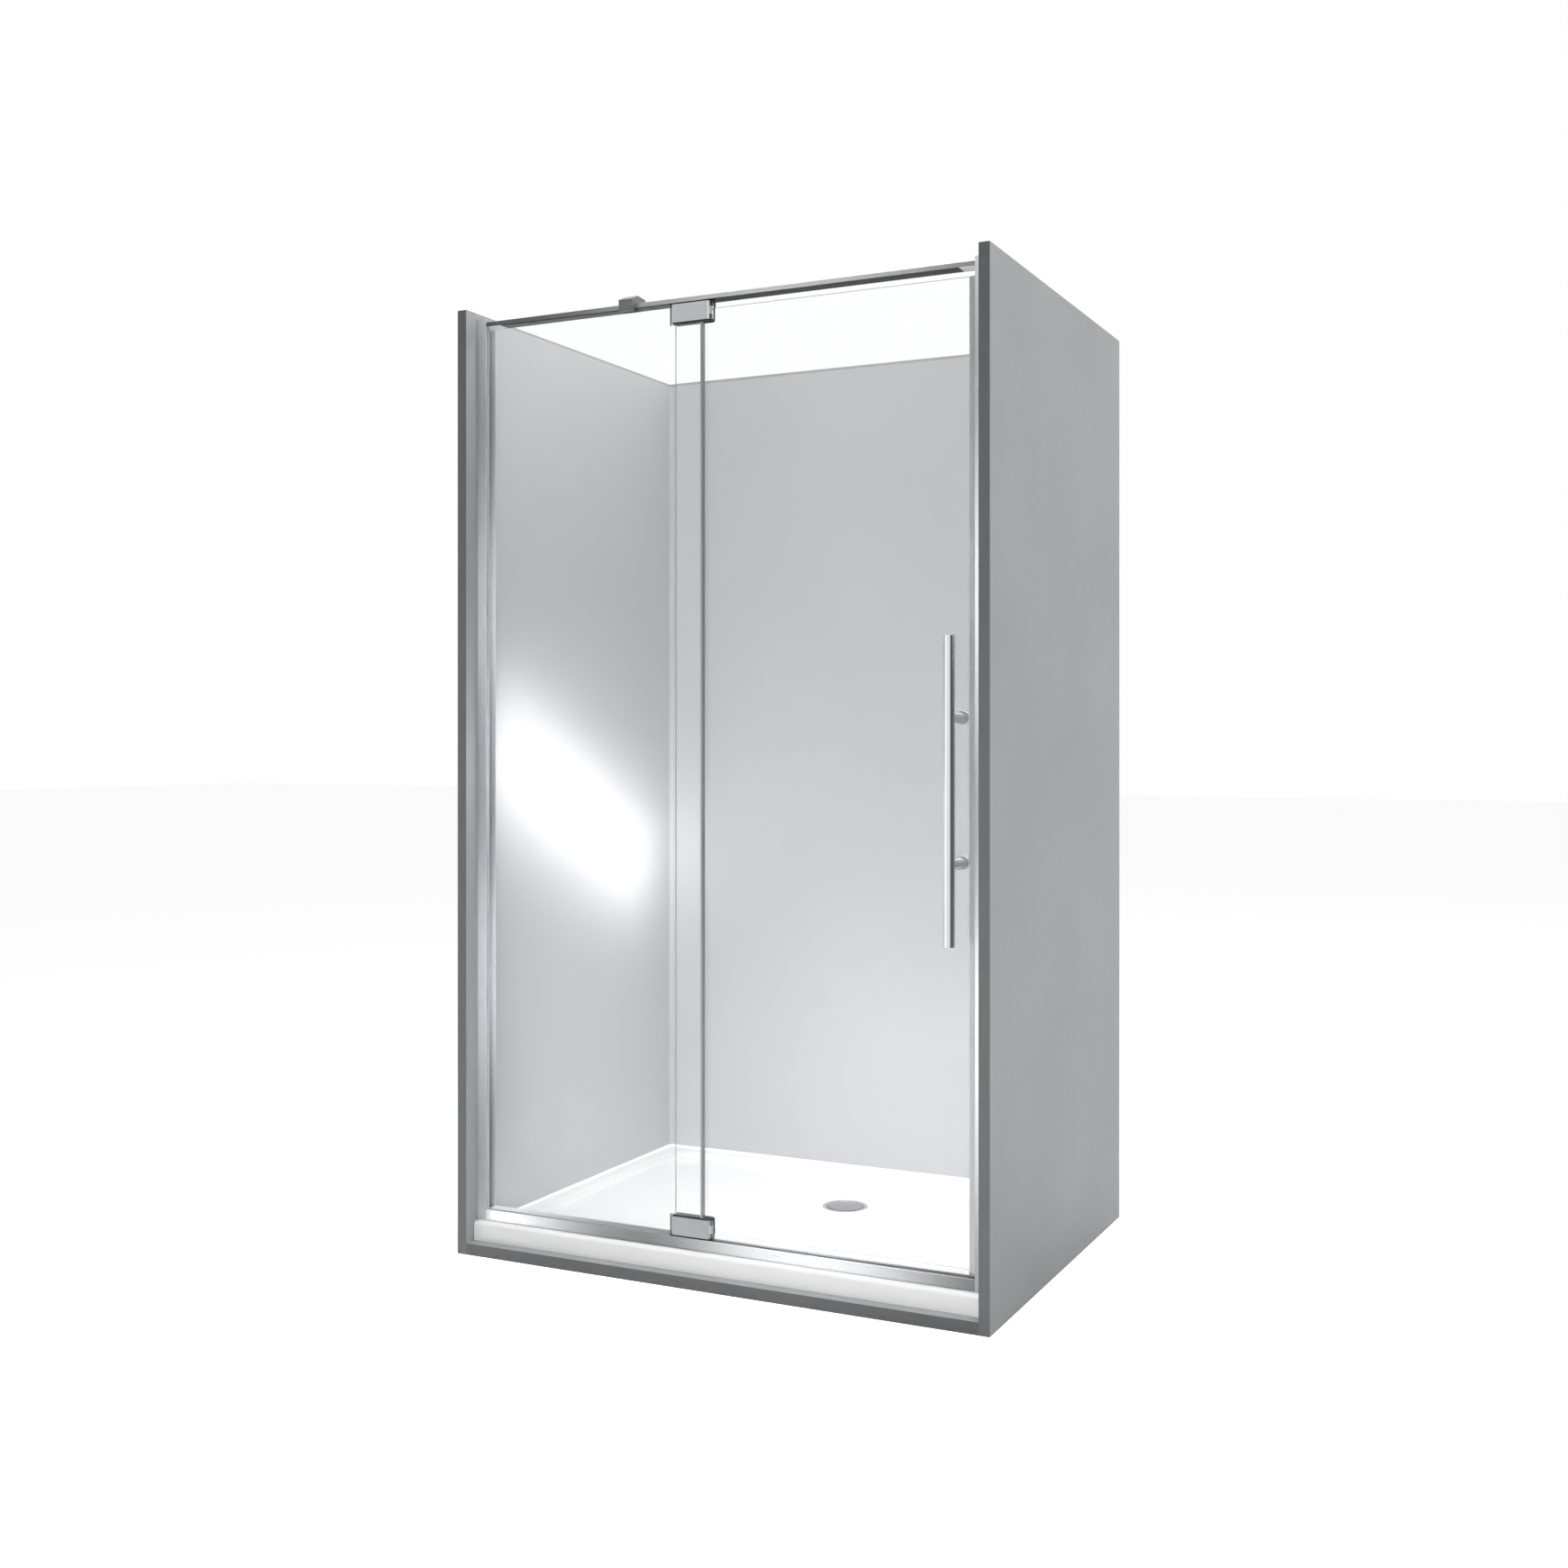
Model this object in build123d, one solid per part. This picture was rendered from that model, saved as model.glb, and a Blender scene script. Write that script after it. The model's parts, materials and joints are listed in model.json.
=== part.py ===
from build123d import *
import os

# A pivot door shower enclosure in its own alcove: three wall panels on a floor slab, wall liners,
# a tray with a waste, an aluminium frame, a fixed glass panel and a glass pivot door with a handle.
# +X is to the right, +Y into the enclosure, +Z up, in millimetres.
# The origin is the middle of the alcove's underside.

# Alcove
ALCOVE_W = 1200.0
ALCOVE_D = 900.0
ALCOVE_H = 2020.0
WALL_T = 22.0
SLAB_T = 24.0
SLAB_HOLE_HALF = 62.0

# Wall liners
LINER_T = 6.0
LINER_TOP_GAP = 8.0
SEALANT_LEG = 4.0
SEALANT_LIP = 0.8
CORNER_COVE = 9.0
CORNER_COVE_T = 1.2

# Tray
TRAY_GAP = 1.0
APRON_SETBACK = 27.5
SHELL_T = 5.0
DAM_H = 42.0
LEDGE_H = 28.0
BASIN_EDGE_H = 14.0
BASIN_FALL = 4.0
LEDGE_W = 36.0
BASIN_R = 62.0
BASIN_SLOPE = 0.9
DAM_BEHIND_SILL = 10.0
APRON_TOP_R = 9.0
COVE_R = 16.0
PAD_MARGIN = 30.0

# Waste
WASTE_X = 45.0
WASTE_Y = 145.0
WASTE_PAD_HALF = 78.0
WASTE_PAD_R = 77.0
FLANGE_R = 51.5
FLANGE_T = 2.0
FLANGE_CLEAR = 0.5
BOWL_R = 45.0
BOWL_WALL = 2.0
BOWL_HOLE_CLEAR = 0.6
BOWL_FLOOR_T = 2.5
BOWL_DEPTH = 20.0
STEP_DEPTH = 4.5
STEP_W = 3.0
SPIGOT_R = 21.5
SPIGOT_WALL = 2.5
SPIGOT_RISE = 1.0
NECK_INSET = 1.0
NUT_R = 56.0
NUT_T = 7.0
NUT_LUG_HALF = 6.0
WASTE_SEAL_T = 2.0
BASKET_RIM_T = 1.5
BASKET_RIM_CLEAR = 0.4
BASKET_CUP_R = 34.0
BASKET_CUP_DEPTH = 8.5
BASKET_WALL = 1.2
BASKET_SLOT_W = 3.0
BASKET_SLOT_L = 14.0
BASKET_SLOTS = 8
BASKET_PEG_R = 4.0
BASKET_SLOT_FROM_WALL = 2.4
COVER_R = 41.0
COVER_T = 2.0
COVER_RISE = 2.0
COVER_FOOT_R = 2.5
COVER_FOOT_H = 1.6
COVER_FOOT_RING_R = 37.5
COVER_FEET = 3
COVER_FOOT_TURN = 30.0
LIFT_GAP = 0.3

# Aluminium frame
FRAME_SETBACK = 42.0
FRAME_D = 38.0
FRAME_WALL = 2.0
JAMB_W = 22.0
JAMB_TOP_GAP = 12.0
SILL_H = 23.0
HEADER_TOP_GAP = 20.0
HEADER_H = 9.0
GLAZE_SLOT = 10.0
GLAZE_DEPTH = 10.0
SILL_EDGE_R = 1.2
INFILL_CLEAR = 0.1
INFILL_DEPTH = 5.0
GASKET_PROUD = 0.3

# Glass
GLASS_T = 6.0
GLASS_GAP = 6.0
GLASS_IN_JAMB = 17.0
GLASS_IN_HEADER = 4.0
SETTING_BLOCK_T = 3.0
SETTING_BLOCK_L = 80.0
SETTING_BLOCK_INSET = 90.0

# Pivot
PIVOT_X = -23.0
BLOCK_D = 31.0
BLOCK_H = 40.0
BLOCK_TAIL = 77.0
BLOCK_CORNER_R = 3.0
BLOCK_EDGE_R = 1.0
PLATE_FROM_AXIS = 7.75
BLOCK_END_GAP = 1.3
BLOCK_GASKET_T = 2.0
BLOCK_GASKET_SETBACK = 0.5
GLASS_PAD_T = 1.0
GLASS_BITE = 20.0
TAIL_INSET = 4.0
BARREL_GLASS_START = 12.0
PIN_R = 5.0
PIN_BITE = 17.0
BUSH_WALL = 2.0
PIN_RUN_CLEAR = 0.05
THRUST_R = 10.0
THRUST_T = 1.0
SOCKET_L = 30.0
SOCKET_DEPTH = 14.0
SOCKET_FLOOR = 3.0
CLAMP_SCREW_R = 2.5
CLAMP_SCREW_HEAD_R = 4.4
CLAMP_SCREW_HEAD_H = 3.0
CLAMP_SCREW_SPACING = 34.0
CLAMP_SCREW_FROM_TAIL = 22.0
NOTCH_GAP = 3.0
CAP_ARC_START = 35.0
CAP_ARC_END = 70.0
CAP_H = 16.0
CAP_T = 1.6
CAP_JOINT = 0.3

# Door edges and seals
DOOR_BOTTOM_GAP = 5.0
DOOR_TOP_GAP = 16.0
SWEEP_LEG = 7.0
SWEEP_LEG_T = 0.8
SWEEP_DROP = 3.3
STRIKE_W = 6.5
STRIKE_D = 12.0
STRIKE_LEG = 7.0
STRIKE_LEG_T = 0.8
STRIKE_GAP = 0.6
MAGNET_W = 3.0
MAGNET_D = 7.0
MAGNET_SKIN = 1.0
EDGE_SEAL_T = 1.0
EDGE_SEAL_LEG = 3.0
EDGE_SEAL_LEG_T = 0.8
EDGE_SEAL_GAP = 0.5
EDGE_FROM_AXIS = 5.0
KEEPER_PROUD = 2.4

# Handle
HANDLE_FROM_EDGE = 24.5
HANDLE_Z = 1005.0
BAR_R = 10.75
BAR_L = 580.0
BAR_WALL = 1.5
BAR_CAP_T = 3.0
POST_SPACING = 275.0
POST_R = 9.5
STANDOFF = 62.0
POST_GASKET_R = 12.5
POST_GASKET_T = 1.5
BUTTON_R = 13.0
BUTTON_T = 9.0
BUTTON_EDGE_R = 2.0
BUTTON_WALL = 2.0
HANDLE_SCREW_R = 4.0
HANDLE_SCREW_BITE = 24.0
HANDLE_SCREW_HEAD_R = 6.5
HANDLE_SCREW_HEAD_H = 4.0
GLASS_HOLE_CLEAR = 2.0
CLAMP_HOLE_CLEAR = 1.0

# Header clamp
CLAMP_X = -199.0
CLAMP_W = 32.0
CLAMP_HOOK_T = 13.5
CLAMP_HOOK_DROP = 7.0
CLAMP_HOOK_RISE = 7.5
CLAMP_APEX_RISE = 18.0
CLAMP_APEX_BACK = 10.0
CLAMP_BACK_RISE = 15.0
CLAMP_BACK_OVER = 3.0
CLAMP_GAP = 0.2
CLAMP_EDGE_R = 1.2
CLAMP_SCREW_SEAT = 7.0

# Frame screws
SCREW_R = 2.3
SCREW_HEAD_R = 4.6
SCREW_HEAD_H = 2.4
SCREW_BITE = 16.0
SCREW_HOLE_CLEAR = 0.1
SCREW_ENDS = 220.0
PLUG_L = 34.0
FIT = 0.1

# How far a cutting body runs past what it cuts, and when two heights count as one
OVER = 1.0
SAME = 0.01

# Planes and faces worked out from the sizes above
X_RIGHT = ALCOVE_W / 2
Y_FRONT = -ALCOVE_D / 2
Y_BACK = ALCOVE_D / 2
X_IN = X_RIGHT - WALL_T
Y_IN = Y_BACK - WALL_T
Z_SLAB = SLAB_T
Z_DAM = Z_SLAB + DAM_H
Z_LEDGE = Z_SLAB + LEDGE_H
Z_BASIN = Z_SLAB + BASIN_EDGE_H
Z_PAD = Z_BASIN - BASIN_FALL
Z_FLANGE_SEAT = Z_PAD - FLANGE_T
Z_TRAY_UNDER = Z_FLANGE_SEAT - SHELL_T
Z_BOWL = Z_PAD - BOWL_DEPTH
Z_STEP = Z_PAD - STEP_DEPTH
BOWL_IN_R = BOWL_R - BOWL_WALL
STEP_R = BOWL_IN_R - STEP_W
Z_RIM = Z_STEP + LIFT_GAP
Y_APRON = Y_FRONT + APRON_SETBACK
Y_FRAME = Y_FRONT + FRAME_SETBACK
Y_FRAME_BACK = Y_FRAME + FRAME_D
Y_DAM_BACK = Y_FRAME_BACK + DAM_BEHIND_SILL
X_TRAY = X_IN - TRAY_GAP
Y_TRAY_BACK = Y_IN - TRAY_GAP
Z_LINER_TOP = ALCOVE_H - LINER_TOP_GAP
X_JAMB = X_IN - JAMB_W
Z_JAMB_TOP = ALCOVE_H - JAMB_TOP_GAP
Z_SILL_TOP = Z_DAM + SILL_H
Z_HEADER_TOP = ALCOVE_H - HEADER_TOP_GAP
Z_HEADER_UNDER = Z_HEADER_TOP - HEADER_H
Y_SLOT = Y_FRAME + FRAME_WALL
Y_SLOT_BACK = Y_SLOT + GLAZE_SLOT
Y_FIXED = Y_SLOT + (GLAZE_SLOT - GLASS_T) / 2
Y_FIXED_BACK = Y_FIXED + GLASS_T
Y_DOOR = Y_FIXED_BACK + GLASS_GAP
Y_DOOR_BACK = Y_DOOR + GLASS_T
Y_PIVOT = (Y_DOOR + Y_DOOR_BACK) / 2
Z_FIXED_BOTTOM = Z_SILL_TOP - GLAZE_DEPTH + SETTING_BLOCK_T
Z_FIXED_TOP = Z_HEADER_UNDER + GLASS_IN_HEADER
X_FIXED_LEFT = -X_JAMB - GLASS_IN_JAMB
X_FIXED_RIGHT = PIVOT_X - EDGE_SEAL_T - EDGE_FROM_AXIS
X_BLOCK_LEFT = PIVOT_X - BLOCK_TAIL
X_BLOCK_RIGHT = PIVOT_X + BLOCK_D / 2
X_TAIL = X_BLOCK_LEFT + TAIL_INSET
X_BARREL_GLASS = PIVOT_X + BARREL_GLASS_START
X_KEEPER = X_JAMB - KEEPER_PROUD
X_STRIKE = X_KEEPER - STRIKE_GAP
X_DOOR_RIGHT = X_STRIKE - STRIKE_W
Z_DOOR_BOTTOM = Z_SILL_TOP + DOOR_BOTTOM_GAP
Z_DOOR_TOP = Z_HEADER_UNDER - DOOR_TOP_GAP
Z_LOW_BLOCK = Z_SILL_TOP + BLOCK_END_GAP
Z_HIGH_BLOCK = Z_HEADER_UNDER - BLOCK_END_GAP
Z_LOW_BITE = Z_LOW_BLOCK + BLOCK_H - GLASS_BITE
Z_HIGH_BITE = Z_HIGH_BLOCK - BLOCK_H + GLASS_BITE
X_HANDLE = X_DOOR_RIGHT - HANDLE_FROM_EDGE
Y_BAR = Y_DOOR - STANDOFF
POST_HEIGHTS = (HANDLE_Z - POST_SPACING / 2, HANDLE_Z + POST_SPACING / 2)
SCREW_HEIGHTS = (Z_DAM + SCREW_ENDS, (Z_DAM + Z_JAMB_TOP) / 2, Z_JAMB_TOP - SCREW_ENDS)
Y_JAMB_SCREW = (Y_SLOT_BACK + Y_FRAME_BACK) / 2
HEADER_END_SCREW_Z = Z_HEADER_TOP - FRAME_WALL - (HEADER_H - FRAME_WALL) / 2


def block(x0, x1, y0, y1, z0, z1):
    """A box between two corners."""
    size = Box(x1 - x0, y1 - y0, z1 - z0)
    return Pos((x0 + x1) / 2, (y0 + y1) / 2, (z0 + z1) / 2) * size


def rod_z(x, y, z0, z1, r):
    return Pos(x, y, (z0 + z1) / 2) * Cylinder(r, z1 - z0)


def rod_y(x, z, y0, y1, r):
    return Pos(x, (y0 + y1) / 2, z) * Rot(90, 0, 0) * Cylinder(r, y1 - y0)


def rod_x(y, z, x0, x1, r):
    return Pos((x0 + x1) / 2, y, z) * Rot(0, 90, 0) * Cylinder(r, x1 - x0)


def along_x(points, x0, x1):
    """A profile given as (y, z) points, run along X."""
    face = make_face(Plane.YZ * Polyline(*points, close=True))
    return Pos(x0, 0, 0) * extrude(face, x1 - x0, dir=(1, 0, 0))


def rounded_rect(x0, x1, y0, y1, z, r):
    return Pos((x0 + x1) / 2, (y0 + y1) / 2, z) * RectangleRounded(x1 - x0, y1 - y0, r)


def joined(parts):
    whole = parts[0]
    for part in parts[1:]:
        whole = whole + part
    return whole


def screw_x(y, z, seat, way):
    """A countersunk screw along X; way is the side that its point faces."""
    tip = seat + way * (SCREW_HEAD_H + SCREW_BITE)
    shank = rod_x(y, z, min(seat, tip), max(seat, tip), SCREW_R)
    cone = Cone(SCREW_HEAD_R, SCREW_R, SCREW_HEAD_H)
    head = Pos(seat + way * SCREW_HEAD_H / 2, y, z) * Rot(0, 90 * way, 0) * cone
    return shank + head


def screw_room_x(y, z, seat, way):
    """The hole that such a screw fills, with its clearance."""
    tip = seat + way * (SCREW_HEAD_H + SCREW_BITE + OVER)
    shank = rod_x(y, z, min(seat, tip), max(seat, tip), SCREW_R + SCREW_HOLE_CLEAR)
    cone = Cone(SCREW_HEAD_R + SCREW_HOLE_CLEAR, SCREW_R + SCREW_HOLE_CLEAR, SCREW_HEAD_H)
    head = Pos(seat + way * SCREW_HEAD_H / 2, y, z) * Rot(0, 90 * way, 0) * cone
    return shank + head


def waste_room(half, z0, z1):
    """The square room round the waste."""
    return block(WASTE_X - half, WASTE_X + half, WASTE_Y - half, WASTE_Y + half, z0, z1)


# Alcove shell
def floor_slab():
    slab = block(-X_IN, X_IN, Y_FRONT, Y_IN, 0, Z_SLAB)
    return slab - waste_room(SLAB_HOLE_HALF, -OVER, Z_SLAB + OVER)


def side_wall(side):
    wall = block(X_IN, X_RIGHT, Y_FRONT, Y_BACK, 0, ALCOVE_H)
    for z in SCREW_HEIGHTS:
        wall = wall - screw_room_x(Y_JAMB_SCREW, z, X_IN - FRAME_WALL, 1)
    if side < 0:
        wall = wall.mirror(Plane.YZ)
    return wall


def back_wall():
    return block(-X_IN, X_IN, Y_IN, Y_BACK, 0, ALCOVE_H)


# Liners
def side_liner(side):
    liner = block(X_IN - LINER_T, X_IN, Y_FRAME_BACK, Y_IN, Z_LEDGE, Z_LINER_TOP)
    over_dam = block(X_IN - LINER_T - OVER, X_IN + OVER, Y_FRAME_BACK - OVER, Y_DAM_BACK,
                     Z_LEDGE - OVER, Z_DAM)
    liner = liner - over_dam
    if side < 0:
        liner = liner.mirror(Plane.YZ)
    return liner


def back_liner():
    x = X_IN - LINER_T
    return block(-x, x, Y_IN - LINER_T, Y_IN, Z_LEDGE, Z_LINER_TOP)


def corner_cove(side):
    """A thin concave strip down each back corner of the liners."""
    x = X_IN - LINER_T
    y = Y_IN - LINER_T
    outer = block(x - CORNER_COVE, x, y - CORNER_COVE, y, Z_LEDGE + SEALANT_LEG, Z_LINER_TOP)
    hollow = rod_z(x - CORNER_COVE, y - CORNER_COVE, Z_LEDGE, Z_LINER_TOP + OVER,
                   CORNER_COVE - CORNER_COVE_T)
    cove = outer - hollow
    if side < 0:
        cove = cove.mirror(Plane.YZ)
    return cove


def liner_sealant():
    """A bead in the angle between the liners and the tray's ledge."""
    x = X_IN - LINER_T
    y = Y_IN - LINER_T
    z = Z_LEDGE
    leg = SEALANT_LEG
    lip = SEALANT_LIP
    frame = block(-x, x, Y_DAM_BACK, y, z, z + leg)
    low = rounded_rect(-x + leg, x - leg, Y_DAM_BACK - leg, y - leg, z, leg)
    high = rounded_rect(-x + lip, x - lip, Y_DAM_BACK - 2 * leg, y - lip, z + leg, leg)
    room = loft([low, high], ruled=True)
    front_room = block(-x + leg, x - leg, Y_DAM_BACK - OVER, Y_DAM_BACK + 2 * leg, z - OVER,
                       z + leg + OVER)
    return frame - room - front_room


# Tray
def tray_mass(grow):
    """The tray's outside with its surface drawn in by grow, so that two of them make the shell."""
    x = X_TRAY - grow
    y0 = Y_APRON + grow
    y1 = Y_TRAY_BACK - grow
    z0 = Z_SLAB - (OVER if grow else 0)
    low = block(-x, x, y0, y1, z0, Z_LEDGE - grow)
    dam = block(-x, x, y0, Y_DAM_BACK - grow, z0, Z_DAM - grow)
    mass = low + dam
    if not grow:
        top_front = mass.edges().filter_by(Axis.X).group_by(Axis.Z)[-1].sort_by(Axis.Y)
        mass = fillet(top_front[0], APRON_TOP_R)
    return mass - basin(grow)


def basin(grow):
    """The room above the tray's floor, with falls to the waste."""
    slant = grow * (1 + BASIN_SLOPE ** 2) ** 0.5
    edge = LEDGE_W + BASIN_SLOPE * (Z_LEDGE - Z_BASIN) - slant
    front = Y_DAM_BACK + BASIN_SLOPE * (Z_DAM - Z_BASIN) - slant
    x = X_TRAY - edge
    y = Y_TRAY_BACK - edge
    z = Z_BASIN - grow
    rise = DAM_H
    out = BASIN_SLOPE * rise
    low = rounded_rect(-x, x, front, y, z, BASIN_R)
    high = rounded_rect(-x - out, x + out, front - out, y + out, z + rise, BASIN_R + out)
    walls = loft([low, high], ruled=True)
    half = WASTE_PAD_HALF
    pad = rounded_rect(WASTE_X - half, WASTE_X + half, WASTE_Y - half, WASTE_Y + half, z - BASIN_FALL,
                       WASTE_PAD_R)
    falls = loft([pad, low], ruled=True)
    return walls + falls


def shower_tray():
    outside = tray_mass(0)
    cove_edges = [e for e in outside.edges() if abs(e.center().Z - Z_BASIN) < SAME
                  and abs(e.bounding_box().size.Z) < SAME]
    outside = fillet(cove_edges, COVE_R)
    under = tray_mass(SHELL_T)
    boss = rod_z(WASTE_X, WASTE_Y, Z_TRAY_UNDER, Z_PAD, FLANGE_R + SHELL_T)
    tray = outside - under + boss
    recess = rod_z(WASTE_X, WASTE_Y, Z_FLANGE_SEAT, Z_PAD + OVER, FLANGE_R + FLANGE_CLEAR)
    hole = rod_z(WASTE_X, WASTE_Y, Z_SLAB, Z_PAD, BOWL_R + BOWL_HOLE_CLEAR)
    return tray - recess - hole


def tray_bed():
    """The bed under the tray's floor, which carries it over the slab."""
    x = X_TRAY - LEDGE_W - PAD_MARGIN
    y0 = Y_DAM_BACK + PAD_MARGIN
    y1 = Y_TRAY_BACK - LEDGE_W - PAD_MARGIN
    bed = block(-x, x, y0, y1, Z_SLAB, Z_BASIN) - basin(SHELL_T)
    return bed - waste_room(SLAB_HOLE_HALF + SHELL_T, Z_SLAB - OVER, Z_BASIN + OVER)


# Waste
def waste_body():
    """The flange and bowl in one piece."""
    flange = rod_z(WASTE_X, WASTE_Y, Z_FLANGE_SEAT, Z_PAD, FLANGE_R)
    bowl = rod_z(WASTE_X, WASTE_Y, Z_BOWL, Z_PAD, BOWL_R)
    mouth = rod_z(WASTE_X, WASTE_Y, Z_STEP, Z_PAD + OVER, BOWL_IN_R)
    inside = rod_z(WASTE_X, WASTE_Y, Z_BOWL + BOWL_FLOOR_T, Z_PAD, STEP_R)
    hole = rod_z(WASTE_X, WASTE_Y, 0, Z_PAD, SPIGOT_R - NECK_INSET + FIT)
    return flange + bowl - mouth - inside - hole


def waste_outlet():
    """The short tube that the pipe pushes on to, with a neck through the bowl's floor."""
    tube = rod_z(WASTE_X, WASTE_Y, SPIGOT_RISE, Z_BOWL, SPIGOT_R)
    neck = rod_z(WASTE_X, WASTE_Y, Z_BOWL, Z_BOWL + BOWL_FLOOR_T, SPIGOT_R - NECK_INSET)
    return tube + neck - rod_z(WASTE_X, WASTE_Y, 0, Z_PAD, SPIGOT_R - SPIGOT_WALL)


def waste_seal():
    ring = rod_z(WASTE_X, WASTE_Y, Z_TRAY_UNDER - WASTE_SEAL_T, Z_TRAY_UNDER, FLANGE_R)
    return ring - rod_z(WASTE_X, WASTE_Y, 0, Z_PAD, BOWL_R + FIT)


def waste_lock_nut():
    top = Z_TRAY_UNDER - WASTE_SEAL_T
    ring = rod_z(WASTE_X, WASTE_Y, top - NUT_T, top, FLANGE_R)
    lugs = [
        block(-NUT_R, NUT_R, -NUT_LUG_HALF, NUT_LUG_HALF, top - NUT_T, top),
        block(-NUT_LUG_HALF, NUT_LUG_HALF, -NUT_R, NUT_R, top - NUT_T, top),
    ]
    lugs = Pos(WASTE_X, WASTE_Y, 0) * joined(lugs)
    return ring + lugs - rod_z(WASTE_X, WASTE_Y, 0, Z_PAD, BOWL_R + FIT)


def strainer_basket():
    rim_r = BOWL_IN_R - BASKET_RIM_CLEAR
    floor = Z_RIM - BASKET_CUP_DEPTH
    rim = rod_z(WASTE_X, WASTE_Y, Z_RIM, Z_RIM + BASKET_RIM_T, rim_r)
    cup = rod_z(WASTE_X, WASTE_Y, floor, Z_RIM, BASKET_CUP_R)
    hollow = rod_z(WASTE_X, WASTE_Y, floor + BASKET_WALL, Z_RIM + BASKET_RIM_T + OVER,
                   BASKET_CUP_R - BASKET_WALL)
    basket = rim + cup - hollow
    slot_middle = BASKET_CUP_R - BASKET_SLOT_FROM_WALL - BASKET_SLOT_L / 2
    for i in range(BASKET_SLOTS):
        slot = Box(BASKET_SLOT_L, BASKET_SLOT_W, 2 * BASKET_WALL + OVER)
        slot = Rot(0, 0, i * 360 / BASKET_SLOTS) * Pos(slot_middle, 0, 0) * slot
        basket = basket - Pos(WASTE_X, WASTE_Y, floor) * slot
    return basket + rod_z(WASTE_X, WASTE_Y, floor, Z_RIM, BASKET_PEG_R)


def waste_cover():
    foot_top = Z_RIM + BASKET_RIM_T + COVER_FOOT_H
    disc = rod_z(WASTE_X, WASTE_Y, foot_top, foot_top + COVER_T, COVER_R)
    dome_r = (COVER_R ** 2 + COVER_RISE ** 2) / (2 * COVER_RISE)
    ball = Pos(WASTE_X, WASTE_Y, foot_top + COVER_T + COVER_RISE - dome_r) * Sphere(dome_r)
    cap = rod_z(WASTE_X, WASTE_Y, foot_top + COVER_T / 2, foot_top + COVER_T + COVER_RISE, COVER_R) & ball
    cover = disc + cap
    for i in range(COVER_FEET):
        turn = 360 / COVER_FEET * i + COVER_FOOT_TURN
        place = Pos(WASTE_X, WASTE_Y, foot_top - COVER_FOOT_H / 2) * Rot(0, 0, turn)
        cover = cover + place * Pos(COVER_FOOT_RING_R, 0, 0) * Cylinder(COVER_FOOT_R, COVER_FOOT_H)
    return cover


# Aluminium frame
def jamb(side):
    """An upright channel with a rib that makes the glazing slot."""
    channel = block(X_JAMB, X_IN, Y_FRAME, Y_FRAME_BACK, Z_DAM, Z_JAMB_TOP)
    x_web = X_IN - FRAME_WALL
    slot = block(X_JAMB - OVER, x_web, Y_SLOT, Y_SLOT_BACK, Z_DAM - OVER, Z_JAMB_TOP + OVER)
    rear = block(X_JAMB - OVER, x_web, Y_SLOT_BACK + FRAME_WALL, Y_FRAME_BACK - FRAME_WALL, Z_DAM - OVER,
                 Z_JAMB_TOP + OVER)
    jamb = channel - slot - rear
    for z in SCREW_HEIGHTS:
        jamb = jamb - screw_room_x(Y_JAMB_SCREW, z, x_web, 1)
    jamb = jamb - screw_room_x(Y_PIVOT, HEADER_END_SCREW_Z, X_IN, -1)
    if side < 0:
        jamb = jamb.mirror(Plane.YZ)
    return jamb


def jamb_screws():
    screws = []
    for z in SCREW_HEIGHTS:
        screws.append(screw_x(Y_JAMB_SCREW, z, X_IN - FRAME_WALL, 1))
        screws.append(screw_x(Y_JAMB_SCREW, z, -X_IN + FRAME_WALL, -1))
    return Compound(children=screws)


def sill():
    """A hollow rail on the tray's dam, with the glazing slot in its top."""
    rail = block(-X_JAMB, X_JAMB, Y_FRAME, Y_FRAME_BACK, Z_DAM, Z_SILL_TOP)
    edges = rail.edges().filter_by(Axis.X).sort_by(Axis.Y)[:2]
    rail = fillet(edges, SILL_EDGE_R)
    z_slot = Z_SILL_TOP - GLAZE_DEPTH
    slot = block(-X_JAMB - OVER, X_JAMB + OVER, Y_SLOT, Y_SLOT_BACK, z_slot, Z_SILL_TOP + OVER)
    under_slot = block(-X_JAMB - OVER, X_JAMB + OVER, Y_SLOT, Y_SLOT_BACK, Z_DAM + FRAME_WALL,
                       z_slot - FRAME_WALL)
    rear = block(-X_JAMB - OVER, X_JAMB + OVER, Y_SLOT_BACK + FRAME_WALL, Y_FRAME_BACK - FRAME_WALL,
                 Z_DAM + FRAME_WALL, Z_SILL_TOP - FRAME_WALL)
    rail = rail - slot - under_slot - rear
    return rail - rod_z(PIVOT_X, Y_PIVOT, Z_SILL_TOP - FRAME_WALL - OVER, Z_SILL_TOP + OVER, PIN_R + FIT)


def sill_gasket():
    """Two glazing strips beside the fixed glass, which stand just above the sill."""
    x0 = -X_JAMB + FIT
    x1 = X_BLOCK_LEFT - NOTCH_GAP
    z0 = Z_FIXED_BOTTOM
    z1 = Z_SILL_TOP + GASKET_PROUD
    front = block(x0, x1, Y_SLOT, Y_FIXED, z0, z1)
    back = block(x0, x1, Y_FIXED_BACK, Y_SLOT_BACK, z0, z1)
    return Compound(children=[front, back])


def sill_infill():
    """A strip that closes the glazing slot under the door."""
    x0 = X_BLOCK_LEFT - NOTCH_GAP + FIT
    return block(x0, X_JAMB - FIT, Y_SLOT, Y_SLOT_BACK, Z_SILL_TOP - INFILL_DEPTH, Z_SILL_TOP)


def jamb_gasket():
    """Two glazing strips beside the fixed glass in the left jamb."""
    x0 = X_FIXED_LEFT
    x1 = -X_JAMB
    front = block(x0, x1, Y_SLOT, Y_FIXED, Z_SILL_TOP, Z_HEADER_UNDER)
    back = block(x0, x1, Y_FIXED_BACK, Y_SLOT_BACK, Z_SILL_TOP, Z_HEADER_UNDER)
    return Compound(children=[front, back])


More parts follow.
